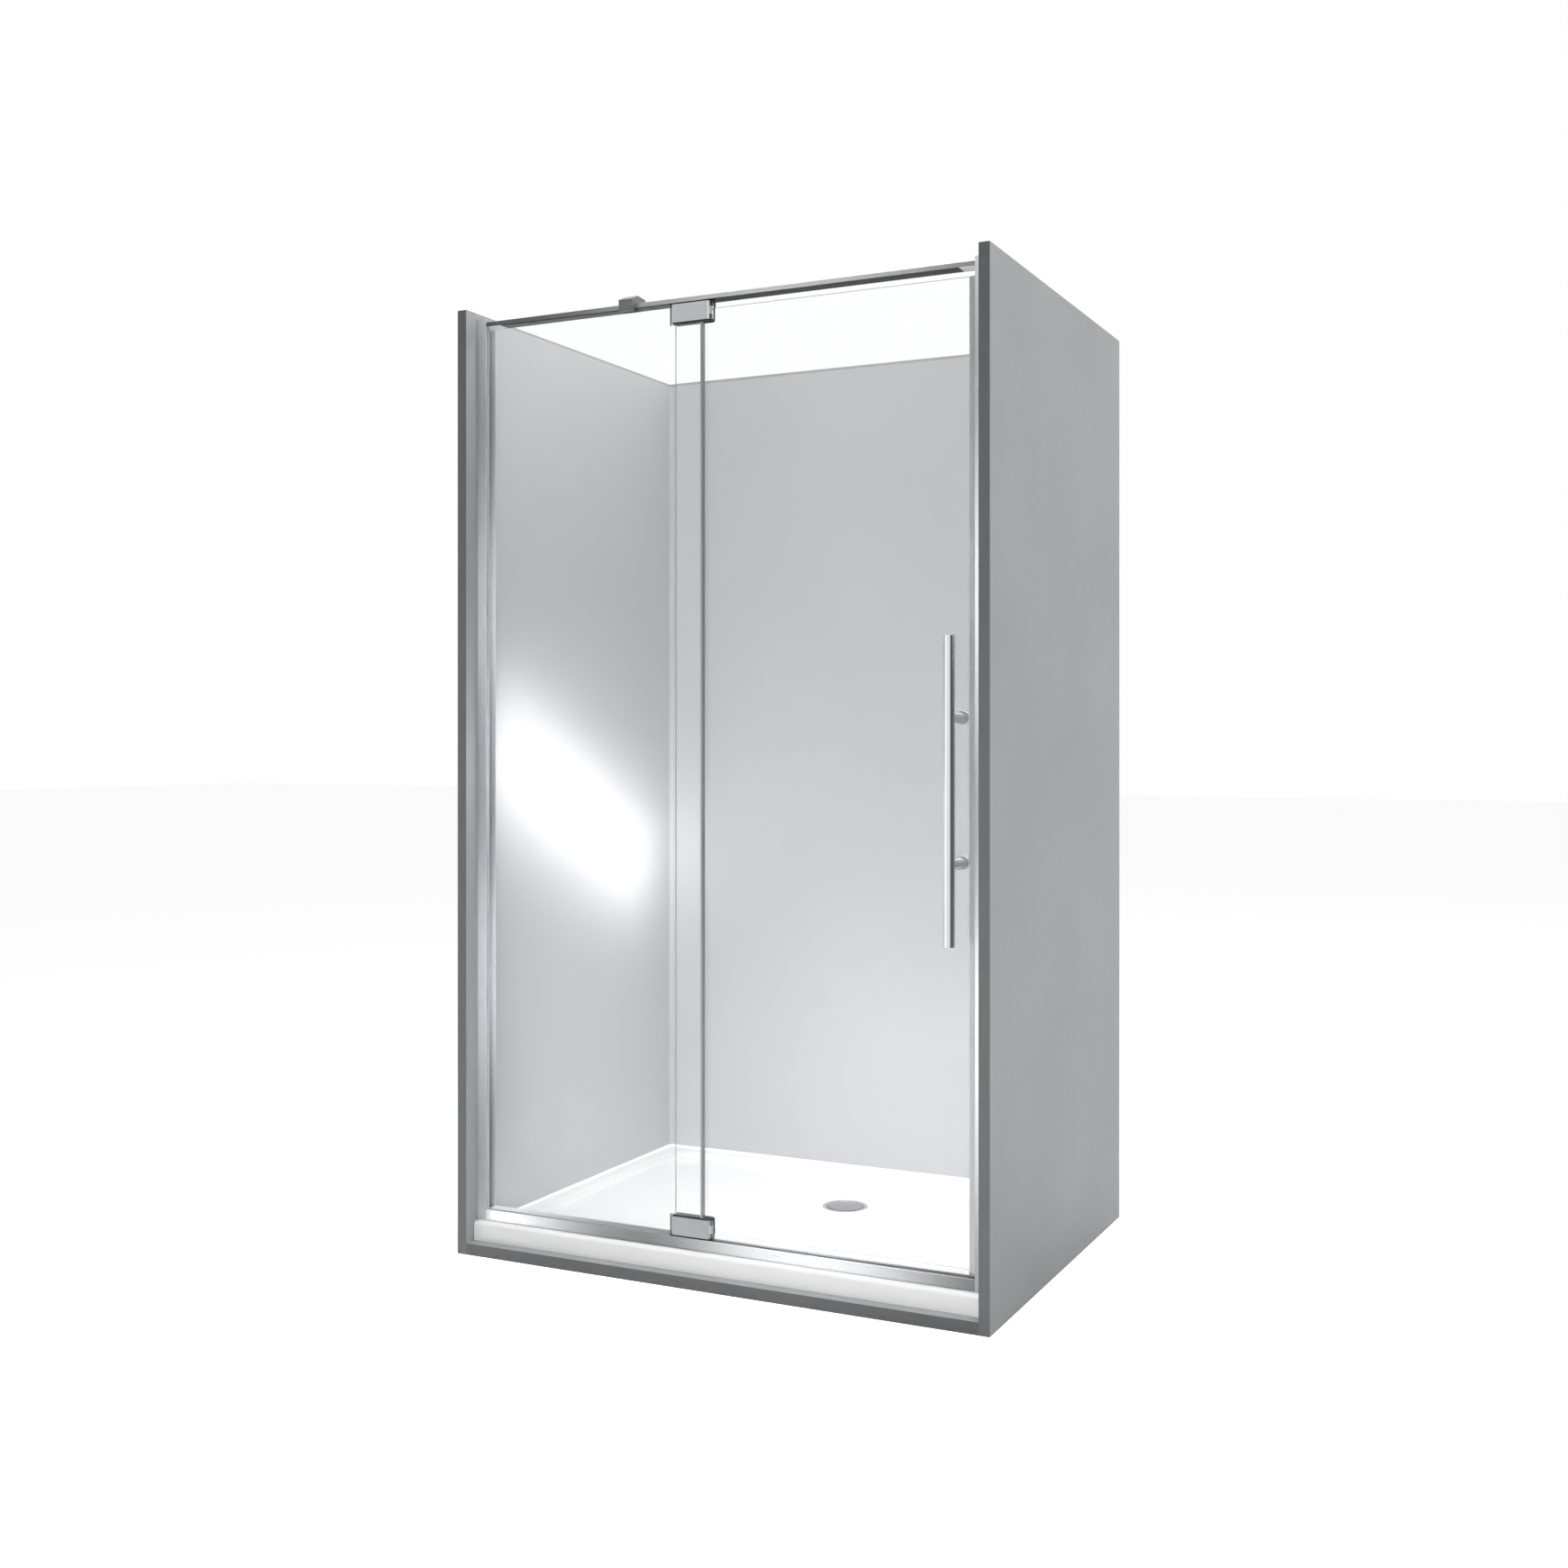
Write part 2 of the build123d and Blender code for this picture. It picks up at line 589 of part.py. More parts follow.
def header():
    """A shallow channel that opens downwards."""
    rail = block(-X_JAMB, X_JAMB, Y_FRAME, Y_FRAME_BACK, Z_HEADER_UNDER, Z_HEADER_TOP)
    edges = rail.edges().filter_by(Axis.X).sort_by(Axis.Y)[:2]
    rail = fillet(edges, SILL_EDGE_R)
    hollow = block(-X_JAMB - OVER, X_JAMB + OVER, Y_FRAME + FRAME_WALL, Y_FRAME_BACK - FRAME_WALL,
                   Z_HEADER_UNDER - OVER, Z_HEADER_TOP - FRAME_WALL)
    rail = rail - hollow
    y = (Y_FRAME + Y_FRAME_BACK) / 2
    return rail - rod_z(CLAMP_X, y, Z_HEADER_UNDER, Z_HEADER_TOP + OVER, SCREW_R + SCREW_HOLE_CLEAR)


def header_infill():
    """The dark strip that fills the header and grips the fixed glass."""
    x = X_JAMB - PLUG_L
    y0 = Y_FRAME + FRAME_WALL + INFILL_CLEAR
    y1 = Y_FRAME_BACK - FRAME_WALL - INFILL_CLEAR
    z1 = Z_HEADER_TOP - FRAME_WALL - INFILL_CLEAR
    infill = block(-x, x, y0, y1, Z_HEADER_UNDER, z1)
    groove = block(-x - OVER, X_BLOCK_LEFT - NOTCH_GAP + OVER, Y_FIXED - FIT, Y_FIXED_BACK + FIT,
                   Z_HEADER_UNDER - OVER, Z_FIXED_TOP + FIT)
    half = SOCKET_L / 2
    socket = block(PIVOT_X - half - FIT, PIVOT_X + half + FIT, Y_PIVOT - SOCKET_DEPTH / 2 - FIT,
                   Y_PIVOT + SOCKET_DEPTH / 2 + FIT, Z_HEADER_UNDER - OVER, z1 + OVER)
    y = (Y_FRAME + Y_FRAME_BACK) / 2
    screw = rod_z(CLAMP_X, y, Z_HEADER_UNDER, Z_HEADER_TOP + OVER, SCREW_R + SCREW_HOLE_CLEAR)
    return infill - groove - socket - screw


def header_end_plug(side):
    """The plug in each end of the header, which runs into the jamb and is screwed to it."""
    x0 = X_JAMB - PLUG_L + FIT
    x1 = X_IN - FRAME_WALL
    y0 = Y_SLOT_BACK + FRAME_WALL + FIT
    y1 = Y_FRAME_BACK - FRAME_WALL - FIT
    z1 = Z_HEADER_TOP - FRAME_WALL - FIT
    plug = block(x0, x1, y0, y1, Z_HEADER_UNDER, z1)
    inner = block(x0, X_JAMB - FIT, Y_FRAME + FRAME_WALL + FIT, y1, Z_HEADER_UNDER, z1)
    if side < 0:
        groove = block(x0 - OVER, X_IN, Y_FIXED - FIT, Y_FIXED_BACK + FIT, Z_HEADER_UNDER - OVER,
                       Z_FIXED_TOP + FIT)
        inner = inner - groove
    return plug + inner - screw_room_x(Y_PIVOT, HEADER_END_SCREW_Z, X_IN, -1)


def header_plugs():
    right = header_end_plug(1)
    left = header_end_plug(-1).mirror(Plane.YZ)
    return Compound(children=[left, right])


def header_end_screws():
    """One screw through each jamb's web into the header's end plug."""
    right = screw_x(Y_PIVOT, HEADER_END_SCREW_Z, X_IN, -1)
    left = screw_x(Y_PIVOT, HEADER_END_SCREW_Z, -X_IN, 1)
    return Compound(children=[left, right])


def top_pivot_socket():
    half = SOCKET_L / 2
    z1 = Z_HEADER_TOP - FRAME_WALL
    socket = block(PIVOT_X - half, PIVOT_X + half, Y_PIVOT - SOCKET_DEPTH / 2, Y_PIVOT + SOCKET_DEPTH / 2,
                   Z_HEADER_UNDER, z1)
    return socket - rod_z(PIVOT_X, Y_PIVOT, Z_HEADER_UNDER - OVER, z1 + OVER, PIN_R + FIT)


def bottom_pivot_socket():
    half = SOCKET_L / 2
    y0 = Y_SLOT_BACK + FRAME_WALL + FIT
    y1 = Y_FRAME_BACK - FRAME_WALL - FIT
    socket = block(PIVOT_X - half, PIVOT_X + half, y0, y1, Z_DAM + FRAME_WALL, Z_SILL_TOP - FRAME_WALL)
    return socket - rod_z(PIVOT_X, Y_PIVOT, Z_DAM + FRAME_WALL + SOCKET_FLOOR, Z_SILL_TOP, PIN_R + FIT)


def pivot_pins():
    z_floor = Z_DAM + FRAME_WALL + SOCKET_FLOOR
    low = rod_z(PIVOT_X, Y_PIVOT, z_floor, Z_LOW_BLOCK + PIN_BITE, PIN_R)
    high = rod_z(PIVOT_X, Y_PIVOT, Z_HIGH_BLOCK - PIN_BITE, Z_HEADER_TOP - FRAME_WALL, PIN_R)
    return Compound(children=[low, high])


def thrust_washers():
    rings = []
    for z0 in (Z_SILL_TOP, Z_HEADER_UNDER - THRUST_T):
        ring = rod_z(PIVOT_X, Y_PIVOT, z0, z0 + THRUST_T, THRUST_R)
        rings.append(ring - rod_z(PIVOT_X, Y_PIVOT, z0 - OVER, z0 + THRUST_T + OVER, PIN_R + FIT))
    return Compound(children=rings)


# Fixed glass
def fixed_glass():
    glass = block(X_FIXED_LEFT, X_FIXED_RIGHT, Y_FIXED, Y_FIXED_BACK, Z_FIXED_BOTTOM, Z_FIXED_TOP)
    x0 = X_BLOCK_LEFT - NOTCH_GAP
    z_low = Z_LOW_BLOCK + BLOCK_H + NOTCH_GAP
    z_high = Z_HIGH_BLOCK - BLOCK_H - NOTCH_GAP
    low = block(x0, X_FIXED_RIGHT + OVER, Y_FIXED - OVER, Y_FIXED_BACK + OVER, Z_FIXED_BOTTOM - OVER,
                z_low)
    high = block(x0, X_FIXED_RIGHT + OVER, Y_FIXED - OVER, Y_FIXED_BACK + OVER, z_high,
                 Z_FIXED_TOP + OVER)
    return glass - low - high


def setting_blocks():
    z0 = Z_SILL_TOP - GLAZE_DEPTH
    pads = []
    for x in (-X_JAMB + SETTING_BLOCK_INSET, X_BLOCK_LEFT - SETTING_BLOCK_INSET):
        half = SETTING_BLOCK_L / 2
        pads.append(block(x - half, x + half, Y_FIXED, Y_FIXED_BACK, z0, Z_FIXED_BOTTOM))
    return Compound(children=pads)


def fixed_edge_seal():
    """A channel on the fixed panel's free edge, with a lip towards the door."""
    z0 = Z_LOW_BLOCK + BLOCK_H + NOTCH_GAP
    z1 = Z_HIGH_BLOCK - BLOCK_H - NOTCH_GAP
    t = EDGE_SEAL_LEG_T
    x0 = X_FIXED_RIGHT - EDGE_SEAL_LEG
    x1 = X_FIXED_RIGHT + EDGE_SEAL_T
    body = block(x0, x1, Y_FIXED - t, Y_FIXED_BACK + t, z0, z1)
    body = body - block(x0 - OVER, X_FIXED_RIGHT, Y_FIXED, Y_FIXED_BACK, z0 - OVER, z1 + OVER)
    lip = block(X_FIXED_RIGHT, x1, Y_FIXED_BACK, Y_DOOR - EDGE_SEAL_GAP, z0, z1)
    return body + lip


# Header clamp
def clamp_points():
    y_hook = Y_FRAME - CLAMP_HOOK_T
    y_back = Y_FRAME_BACK + CLAMP_BACK_OVER
    return [
        (y_hook, Z_HEADER_UNDER - CLAMP_HOOK_DROP),
        (y_hook, Z_HEADER_TOP + CLAMP_HOOK_RISE),
        (Y_FRAME + CLAMP_APEX_BACK, Z_HEADER_TOP + CLAMP_APEX_RISE),
        (y_back, Z_HEADER_TOP + CLAMP_BACK_RISE),
        (y_back, Z_HEADER_TOP),
        (Y_FRAME - CLAMP_GAP, Z_HEADER_TOP),
        (Y_FRAME - CLAMP_GAP, Z_HEADER_UNDER - CLAMP_HOOK_DROP),
    ]


def header_clamp():
    half = CLAMP_W / 2
    body = along_x(clamp_points(), CLAMP_X - half, CLAMP_X + half)
    outer = [e for e in body.edges().filter_by(Axis.X)
             if e.center().Z > Z_HEADER_TOP + SAME or e.center().Y < Y_FRAME - CLAMP_GAP - SAME]
    body = fillet(outer, CLAMP_EDGE_R)
    y = (Y_FRAME + Y_FRAME_BACK) / 2
    top = Z_HEADER_TOP + CLAMP_APEX_RISE + OVER
    shank = rod_z(CLAMP_X, y, Z_HEADER_TOP - OVER, top, SCREW_R + SCREW_HOLE_CLEAR)
    head = rod_z(CLAMP_X, y, Z_HEADER_TOP + CLAMP_SCREW_SEAT, top, SCREW_HEAD_R + SCREW_HOLE_CLEAR)
    return body - shank - head


def clamp_screw():
    y = (Y_FRAME + Y_FRAME_BACK) / 2
    seat = Z_HEADER_TOP + CLAMP_SCREW_SEAT
    head = rod_z(CLAMP_X, y, seat, seat + SCREW_HEAD_H, SCREW_HEAD_R)
    shank = rod_z(CLAMP_X, y, Z_HEADER_UNDER + SILL_EDGE_R, seat, SCREW_R)
    return head + shank


def clamp_pad():
    half = CLAMP_W / 2
    return block(CLAMP_X - half, CLAMP_X + half, Y_FRAME - CLAMP_GAP, Y_FIXED,
                 Z_HEADER_UNDER - CLAMP_HOOK_DROP, Z_HEADER_UNDER)


# Strike side
def strike_carrier():
    """The plastic strip in the right jamb that holds the magnet."""
    x1 = X_IN - FRAME_WALL
    y0 = Y_SLOT_BACK + FRAME_WALL + FIT
    y1 = Y_FRAME_BACK - FRAME_WALL - FIT
    z0 = Z_SILL_TOP + FIT
    z1 = Z_HEADER_UNDER - FIT
    body = block(X_JAMB, x1, y0, y1, z0, z1)
    groove = block(X_JAMB - OVER, X_JAMB + MAGNET_W, Y_PIVOT - MAGNET_D / 2, Y_PIVOT + MAGNET_D / 2,
                   z0 - OVER, z1 + OVER)
    return body - groove


def strike_magnet():
    z0 = Z_SILL_TOP + FIT
    z1 = Z_HEADER_UNDER - FIT
    return block(X_KEEPER, X_JAMB + MAGNET_W, Y_PIVOT - MAGNET_D / 2, Y_PIVOT + MAGNET_D / 2, z0, z1)


# Door
def door_glass():
    glass = block(X_TAIL, X_DOOR_RIGHT, Y_DOOR, Y_DOOR_BACK, Z_DOOR_BOTTOM, Z_DOOR_TOP)
    low = block(X_TAIL - OVER, X_BARREL_GLASS, Y_DOOR - OVER, Y_DOOR_BACK + OVER, Z_DOOR_BOTTOM - OVER,
                Z_LOW_BITE)
    high = block(X_TAIL - OVER, X_BARREL_GLASS, Y_DOOR - OVER, Y_DOOR_BACK + OVER, Z_HIGH_BITE,
                 Z_DOOR_TOP + OVER)
    glass = glass - low - high
    for z in POST_HEIGHTS:
        glass = glass - rod_y(X_HANDLE, z, Y_DOOR - OVER, Y_DOOR_BACK + OVER,
                              HANDLE_SCREW_R + GLASS_HOLE_CLEAR)
    for z in (z_of_clamp_screw(-1), z_of_clamp_screw(1)):
        for x in clamp_screw_places():
            glass = glass - rod_y(x, z, Y_DOOR - OVER, Y_DOOR_BACK + OVER,
                                  CLAMP_SCREW_R + CLAMP_HOLE_CLEAR)
    return glass


def z_of_clamp_screw(end):
    if end < 0:
        return Z_LOW_BITE + GLASS_BITE / 2 - BLOCK_GASKET_T / 2
    return Z_HIGH_BITE - GLASS_BITE / 2 + BLOCK_GASKET_T / 2


def clamp_screw_places():
    first = X_BLOCK_LEFT + CLAMP_SCREW_FROM_TAIL
    return (first, first + CLAMP_SCREW_SPACING)


def block_plan(inset, z0, z1):
    """The pivot block's outline: a barrel round the axis and a flat tail."""
    r = BLOCK_D / 2 - inset
    barrel = rod_z(PIVOT_X, Y_PIVOT, z0, z1, r)
    tail = block(X_BLOCK_LEFT + inset, PIVOT_X, Y_PIVOT - r, Y_PIVOT + r, z0, z1)
    corners = tail.edges().filter_by(Axis.Z).sort_by(Axis.X)[:2]
    tail = fillet(corners, BLOCK_CORNER_R)
    return barrel + tail


def low_block_solid():
    top = Z_LOW_BLOCK + BLOCK_H - BLOCK_GASKET_T
    body = block_plan(0, Z_LOW_BLOCK, top)
    rims = [e for e in body.edges() if e.bounding_box().size.Z < SAME]
    return fillet(rims, BLOCK_EDGE_R)


def glass_room(extra):
    """The room in the low block for the glass and its pads."""
    y0 = Y_DOOR - extra
    y1 = Y_DOOR_BACK + extra
    high = Z_LOW_BLOCK + BLOCK_H + OVER
    tail = block(X_TAIL - extra, X_BLOCK_RIGHT + OVER, y0, y1, Z_LOW_BITE - extra, high)
    edge = block(X_BARREL_GLASS - extra, X_BLOCK_RIGHT + OVER, y0, y1, Z_LOW_BLOCK - OVER, high)
    return tail + edge


def rear_region():
    """What the rear clamp plate takes from the low block."""
    z0 = Z_LOW_BITE - GLASS_PAD_T
    high = Z_LOW_BLOCK + BLOCK_H + OVER
    return block(X_BLOCK_LEFT - OVER, PIVOT_X - PLATE_FROM_AXIS, Y_DOOR_BACK + GLASS_PAD_T,
                 Y_PIVOT + BLOCK_D, z0, high)


def cap_ring(r0, r1, z0, z1, grow):
    """A piece of ring at the barrel's front right, from one angle to another off the front."""
    ring = rod_z(PIVOT_X, Y_PIVOT, z0, z1, r1) - rod_z(PIVOT_X, Y_PIVOT, z0 - OVER, z1 + OVER, r0)
    reach = 3 * BLOCK_D
    middle = (CAP_ARC_START + CAP_ARC_END) / 2
    half = (CAP_ARC_END - CAP_ARC_START) / 2
    far = reach * sin_deg(half)
    wedge = make_face(Polyline((0, 0), (reach * cos_deg(half), far), (reach * cos_deg(half), -far),
                               close=True))
    wedge = extrude(wedge, z1 - z0 + 2 * OVER)
    wedge = Pos(PIVOT_X, Y_PIVOT, z0 - OVER) * Rot(0, 0, middle - 90) * Pos(-grow, 0, 0) * wedge
    return ring & wedge


def sin_deg(angle):
    return Vector(1, 0, 0).rotate(Axis.Z, angle).Y


def cos_deg(angle):
    return Vector(1, 0, 0).rotate(Axis.Z, angle).X


def cap_heights(grow):
    middle = Z_LOW_BLOCK + (BLOCK_H - BLOCK_GASKET_T) / 2
    return (middle - CAP_H / 2 - grow, middle + CAP_H / 2 + grow)


def low_block_body():
    """The front shell with the barrel and the pin's bore."""
    body = low_block_solid() - glass_room(GLASS_PAD_T) - rear_region()
    body = body - rod_z(PIVOT_X, Y_PIVOT, Z_LOW_BLOCK - OVER, Z_LOW_BLOCK + PIN_BITE + OVER,
                        PIN_R + BUSH_WALL + FIT)
    z0, z1 = cap_heights(CAP_JOINT)
    r = BLOCK_D / 2
    body = body - cap_ring(r - CAP_T, r + OVER, z0, z1, 2 * CAP_JOINT)
    z = z_of_clamp_screw(-1)
    for x in clamp_screw_places():
        body = body - rod_y(x, z, Y_PIVOT - r + FRAME_WALL, Y_PIVOT + r + OVER, CLAMP_SCREW_R + FIT)
    return body


def low_block_plate():
    """The rear clamp plate."""
    plate = low_block_solid() & rear_region()
    z0 = Z_LOW_BITE - GLASS_PAD_T
    plate = plate - block(X_BLOCK_LEFT - OVER, X_BLOCK_RIGHT, Y_PIVOT, Y_PIVOT + BLOCK_D, z0 - OVER,
                          z0 + FIT)
    z = z_of_clamp_screw(-1)
    y1 = Y_PIVOT + BLOCK_D / 2
    for x in clamp_screw_places():
        plate = plate - rod_y(x, z, Y_PIVOT, y1 + OVER, CLAMP_SCREW_R + FIT)
        plate = plate - rod_y(x, z, y1 - CLAMP_SCREW_HEAD_H - FIT, y1 + OVER, CLAMP_SCREW_HEAD_R + FIT)
    return plate


def low_block_gasket():
    """The dark pad round the glass, with a flange that covers the block's open end."""
    top = Z_LOW_BLOCK + BLOCK_H
    flange = block_plan(BLOCK_GASKET_SETBACK, top - BLOCK_GASKET_T, top)
    lining = glass_room(GLASS_PAD_T) & block_plan(BLOCK_GASKET_SETBACK, Z_LOW_BLOCK, top)
    gasket = flange + lining - glass_room(0)
    z = z_of_clamp_screw(-1)
    for x in clamp_screw_places():
        gasket = gasket - rod_y(x, z, Y_DOOR - 2 * GLASS_PAD_T, Y_DOOR_BACK + 2 * GLASS_PAD_T,
                                CLAMP_SCREW_R + CLAMP_HOLE_CLEAR)
    return gasket


def low_block_screws():
    z = z_of_clamp_screw(-1)
    y1 = Y_PIVOT + BLOCK_D / 2 - FIT
    y0 = Y_PIVOT - BLOCK_D / 2 + FRAME_WALL + FIT
    screws = []
    for x in clamp_screw_places():
        shank = rod_y(x, z, y0, y1 - CLAMP_SCREW_HEAD_H, CLAMP_SCREW_R)
        head = rod_y(x, z, y1 - CLAMP_SCREW_HEAD_H, y1, CLAMP_SCREW_HEAD_R)
        screws.append(shank + head)
    return screws


def low_bush():
    z1 = Z_LOW_BLOCK + PIN_BITE
    bush = rod_z(PIVOT_X, Y_PIVOT, Z_LOW_BLOCK, z1, PIN_R + BUSH_WALL)
    return bush - rod_z(PIVOT_X, Y_PIVOT, Z_LOW_BLOCK - OVER, z1 + OVER, PIN_R + PIN_RUN_CLEAR)


def low_cap():
    z0, z1 = cap_heights(0)
    r = BLOCK_D / 2
    return cap_ring(r - CAP_T, r, z0, z1, 0)


def to_top(shape):
    """The top block is the low one turned over, so it is mirrored between their ends."""
    middle = (Z_LOW_BLOCK + Z_HIGH_BLOCK) / 2
    return shape.mirror(Plane.XY.offset(middle))


def door_sweep():
    """The channel under the door glass, with a fin just clear of the sill."""
    x0 = X_BLOCK_RIGHT + BLOCK_END_GAP
    x1 = X_DOOR_RIGHT - STRIKE_LEG - FIT
    t = SWEEP_LEG_T
    z0 = Z_DOOR_BOTTOM - SWEEP_DROP
    body = block(x0, x1, Y_DOOR - t, Y_DOOR_BACK + t, z0, Z_DOOR_BOTTOM + SWEEP_LEG)
    return body - block(x0 - OVER, x1 + OVER, Y_DOOR, Y_DOOR_BACK, Z_DOOR_BOTTOM,
                        Z_DOOR_BOTTOM + SWEEP_LEG + OVER)


def door_strike_seal():
    """The magnetic seal's body on the door's free edge."""
    t = STRIKE_LEG_T
    z0 = Z_DOOR_BOTTOM
    z1 = Z_DOOR_TOP
    legs = block(X_DOOR_RIGHT - STRIKE_LEG, X_DOOR_RIGHT, Y_DOOR - t, Y_DOOR_BACK + t, z0, z1)
    legs = legs - block(X_DOOR_RIGHT - STRIKE_LEG - OVER, X_DOOR_RIGHT, Y_DOOR, Y_DOOR_BACK, z0 - OVER,
                        z1 + OVER)
    head = block(X_DOOR_RIGHT, X_STRIKE, Y_PIVOT - STRIKE_D / 2, Y_PIVOT + STRIKE_D / 2, z0, z1)
    return legs + head - magnet_room(z0 - OVER, z1 + OVER)


def magnet_room(z0, z1):
    x1 = X_STRIKE - MAGNET_SKIN
    return block(x1 - MAGNET_W, x1, Y_PIVOT - MAGNET_D / 2, Y_PIVOT + MAGNET_D / 2, z0, z1)


def door_magnet():
    return magnet_room(Z_DOOR_BOTTOM, Z_DOOR_TOP)


# Handle
def handle_bar():
    z0 = HANDLE_Z - BAR_L / 2
    z1 = HANDLE_Z + BAR_L / 2
    tube = rod_z(X_HANDLE, Y_BAR, z0, z1, BAR_R)
    bore = rod_z(X_HANDLE, Y_BAR, z0 - OVER, z1 + OVER, BAR_R - BAR_WALL)
    return tube - bore


def handle_end_caps():
    caps = []
    for end in (-1, 1):
        z = HANDLE_Z + end * (BAR_L / 2 - BAR_CAP_T / 2)
        caps.append(Pos(X_HANDLE, Y_BAR, z) * Cylinder(BAR_R - BAR_WALL, BAR_CAP_T))
    return Compound(children=caps)


def handle_posts():
    posts = []
    for z in POST_HEIGHTS:
        post = rod_y(X_HANDLE, z, Y_BAR, Y_DOOR - POST_GASKET_T, POST_R)
        post = post - rod_z(X_HANDLE, Y_BAR, z - 2 * POST_R, z + 2 * POST_R, BAR_R + FIT / 2)
        y_end = Y_DOOR - POST_GASKET_T
        bite = HANDLE_SCREW_BITE - POST_GASKET_T + OVER
        posts.append(post - rod_y(X_HANDLE, z, y_end - bite, y_end + OVER, HANDLE_SCREW_R + FIT))
    return Compound(children=posts)


def handle_gaskets():
    """A ring on each face of the glass at each post."""
    rings = []
    for z in POST_HEIGHTS:
        for y0 in (Y_DOOR - POST_GASKET_T, Y_DOOR_BACK):
            ring = rod_y(X_HANDLE, z, y0, y0 + POST_GASKET_T, POST_GASKET_R)
            rings.append(ring - rod_y(X_HANDLE, z, y0 - OVER, y0 + POST_GASKET_T + OVER,
                                      HANDLE_SCREW_R + FIT))
    return Compound(children=rings)


def handle_buttons():
    """The round caps on the inner face, over the screw heads."""
    buttons = []
    for z in POST_HEIGHTS:
        y0 = Y_DOOR_BACK + POST_GASKET_T
        button = rod_y(X_HANDLE, z, y0, y0 + BUTTON_T, BUTTON_R)
        rim = button.edges().filter_by(GeomType.CIRCLE).sort_by(Axis.Y)[-1]
        button = fillet(rim, BUTTON_EDGE_R)
        button = button - rod_y(X_HANDLE, z, y0 - OVER, y0 + BUTTON_T - BUTTON_WALL, HANDLE_SCREW_R + FIT)
        head = rod_y(X_HANDLE, z, y0 + BUTTON_WALL, y0 + BUTTON_T - BUTTON_WALL,
                     HANDLE_SCREW_HEAD_R + FIT)
        buttons.append(button - head)
    return Compound(children=buttons)


def handle_screws():
    screws = []
    for z in POST_HEIGHTS:
        y0 = Y_DOOR_BACK + POST_GASKET_T + BUTTON_WALL
        shank = rod_y(X_HANDLE, z, Y_DOOR - HANDLE_SCREW_BITE, y0, HANDLE_SCREW_R)
        head = rod_y(X_HANDLE, z, y0, y0 + HANDLE_SCREW_HEAD_H, HANDLE_SCREW_HEAD_R)
        screws.append(shank + head)
    return Compound(children=screws)


PARTS = {
    "floor_slab": floor_slab(),
    "left_wall_panel": side_wall(-1),
    "right_wall_panel": side_wall(1),
    "back_wall_panel": back_wall(),
    "left_wall_liner": side_liner(-1),
    "right_wall_liner": side_liner(1),
    "back_wall_liner": back_liner(),
    "left_corner_cove": corner_cove(-1),
    "right_corner_cove": corner_cove(1),
    "liner_sealant": liner_sealant(),
    "shower_tray": shower_tray(),
    "tray_bed": tray_bed(),
    "waste_body": waste_body(),
    "waste_outlet": waste_outlet(),
    "waste_seal": waste_seal(),
    "waste_lock_nut": waste_lock_nut(),
    "strainer_basket": strainer_basket(),
    "waste_cover": waste_cover(),
    "left_jamb": jamb(-1),
    "right_jamb": jamb(1),
    "jamb_screws": jamb_screws(),
    "sill_rail": sill(),
    "sill_gaskets": sill_gasket(),
    "sill_infill": sill_infill(),
    "jamb_gaskets": jamb_gasket(),
    "header_rail": header(),
    "header_infill": header_infill(),
    "header_end_plugs": header_plugs(),
    "header_end_screws": header_end_screws(),
    "top_pivot_socket": top_pivot_socket(),
    "bottom_pivot_socket": bottom_pivot_socket(),
    "pivot_pins": pivot_pins(),
    "thrust_washers": thrust_washers(),
    "fixed_glass_panel": fixed_glass(),
    "setting_blocks": setting_blocks(),
    "fixed_edge_seal": fixed_edge_seal(),
    "header_clamp": header_clamp(),
    "header_clamp_screw": clamp_screw(),
    "header_clamp_pad": clamp_pad(),
    "strike_carrier": strike_carrier(),
    "strike_magnet": strike_magnet(),
    "door_glass": door_glass(),
    "bottom_pivot_block": low_block_body(),
    "top_pivot_block": to_top(low_block_body()),
    "bottom_clamp_plate": low_block_plate(),
    "top_clamp_plate": to_top(low_block_plate()),
    "bottom_block_gasket": low_block_gasket(),
    "top_block_gasket": to_top(low_block_gasket()),
    "pivot_bushes": Compound(children=[low_bush(), to_top(low_bush())]),
    "block_screws": Compound(children=low_block_screws() + [to_top(s) for s in low_block_screws()]),
    "block_cover_caps": Compound(children=[low_cap(), to_top(low_cap())]),
    "door_sweep": door_sweep(),
    "door_strike_seal": door_strike_seal(),
    "door_magnet": door_magnet(),
    "handle_bar": handle_bar(),
    "handle_end_caps": handle_end_caps(),
    "handle_posts": handle_posts(),
    "handle_gaskets": handle_gaskets(),
    "handle_buttons": handle_buttons(),
    "handle_screws": handle_screws(),
}

os.makedirs("parts", exist_ok=True)
for name, shape in PARTS.items():
    export_step(shape, "parts/" + name + ".step")
print(len(PARTS), "nodes written")
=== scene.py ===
import json
import math

import bpy
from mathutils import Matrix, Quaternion, Vector

# The camera comes from a fit to the alcove's corners in a frame of IMAGE pixels a side
IMAGE = 1740
FOCAL_PIXELS = 1931.87
HORIZON_ROW = 820.29
SENSOR = 36.0
CAMERA_AT = (1.66461, -3.49810, 1.10186)
CAMERA_YAW = math.radians(25.995)
CLIP = (0.05, 100.0)

# Sockets of the colour mix node, which have no names of their own
MIX_A, MIX_B, MIX_RESULT = 6, 7, 2

# Noise drawn out along one axis
ALONG_X = (0.02, 1, 1)
ALONG_Z = (1, 1, 0.02)

WHITE = (1, 1, 1, 1)
COOL = (0.985, 1.0, 1.03)
WARM = (1.02, 1.0, 0.96)

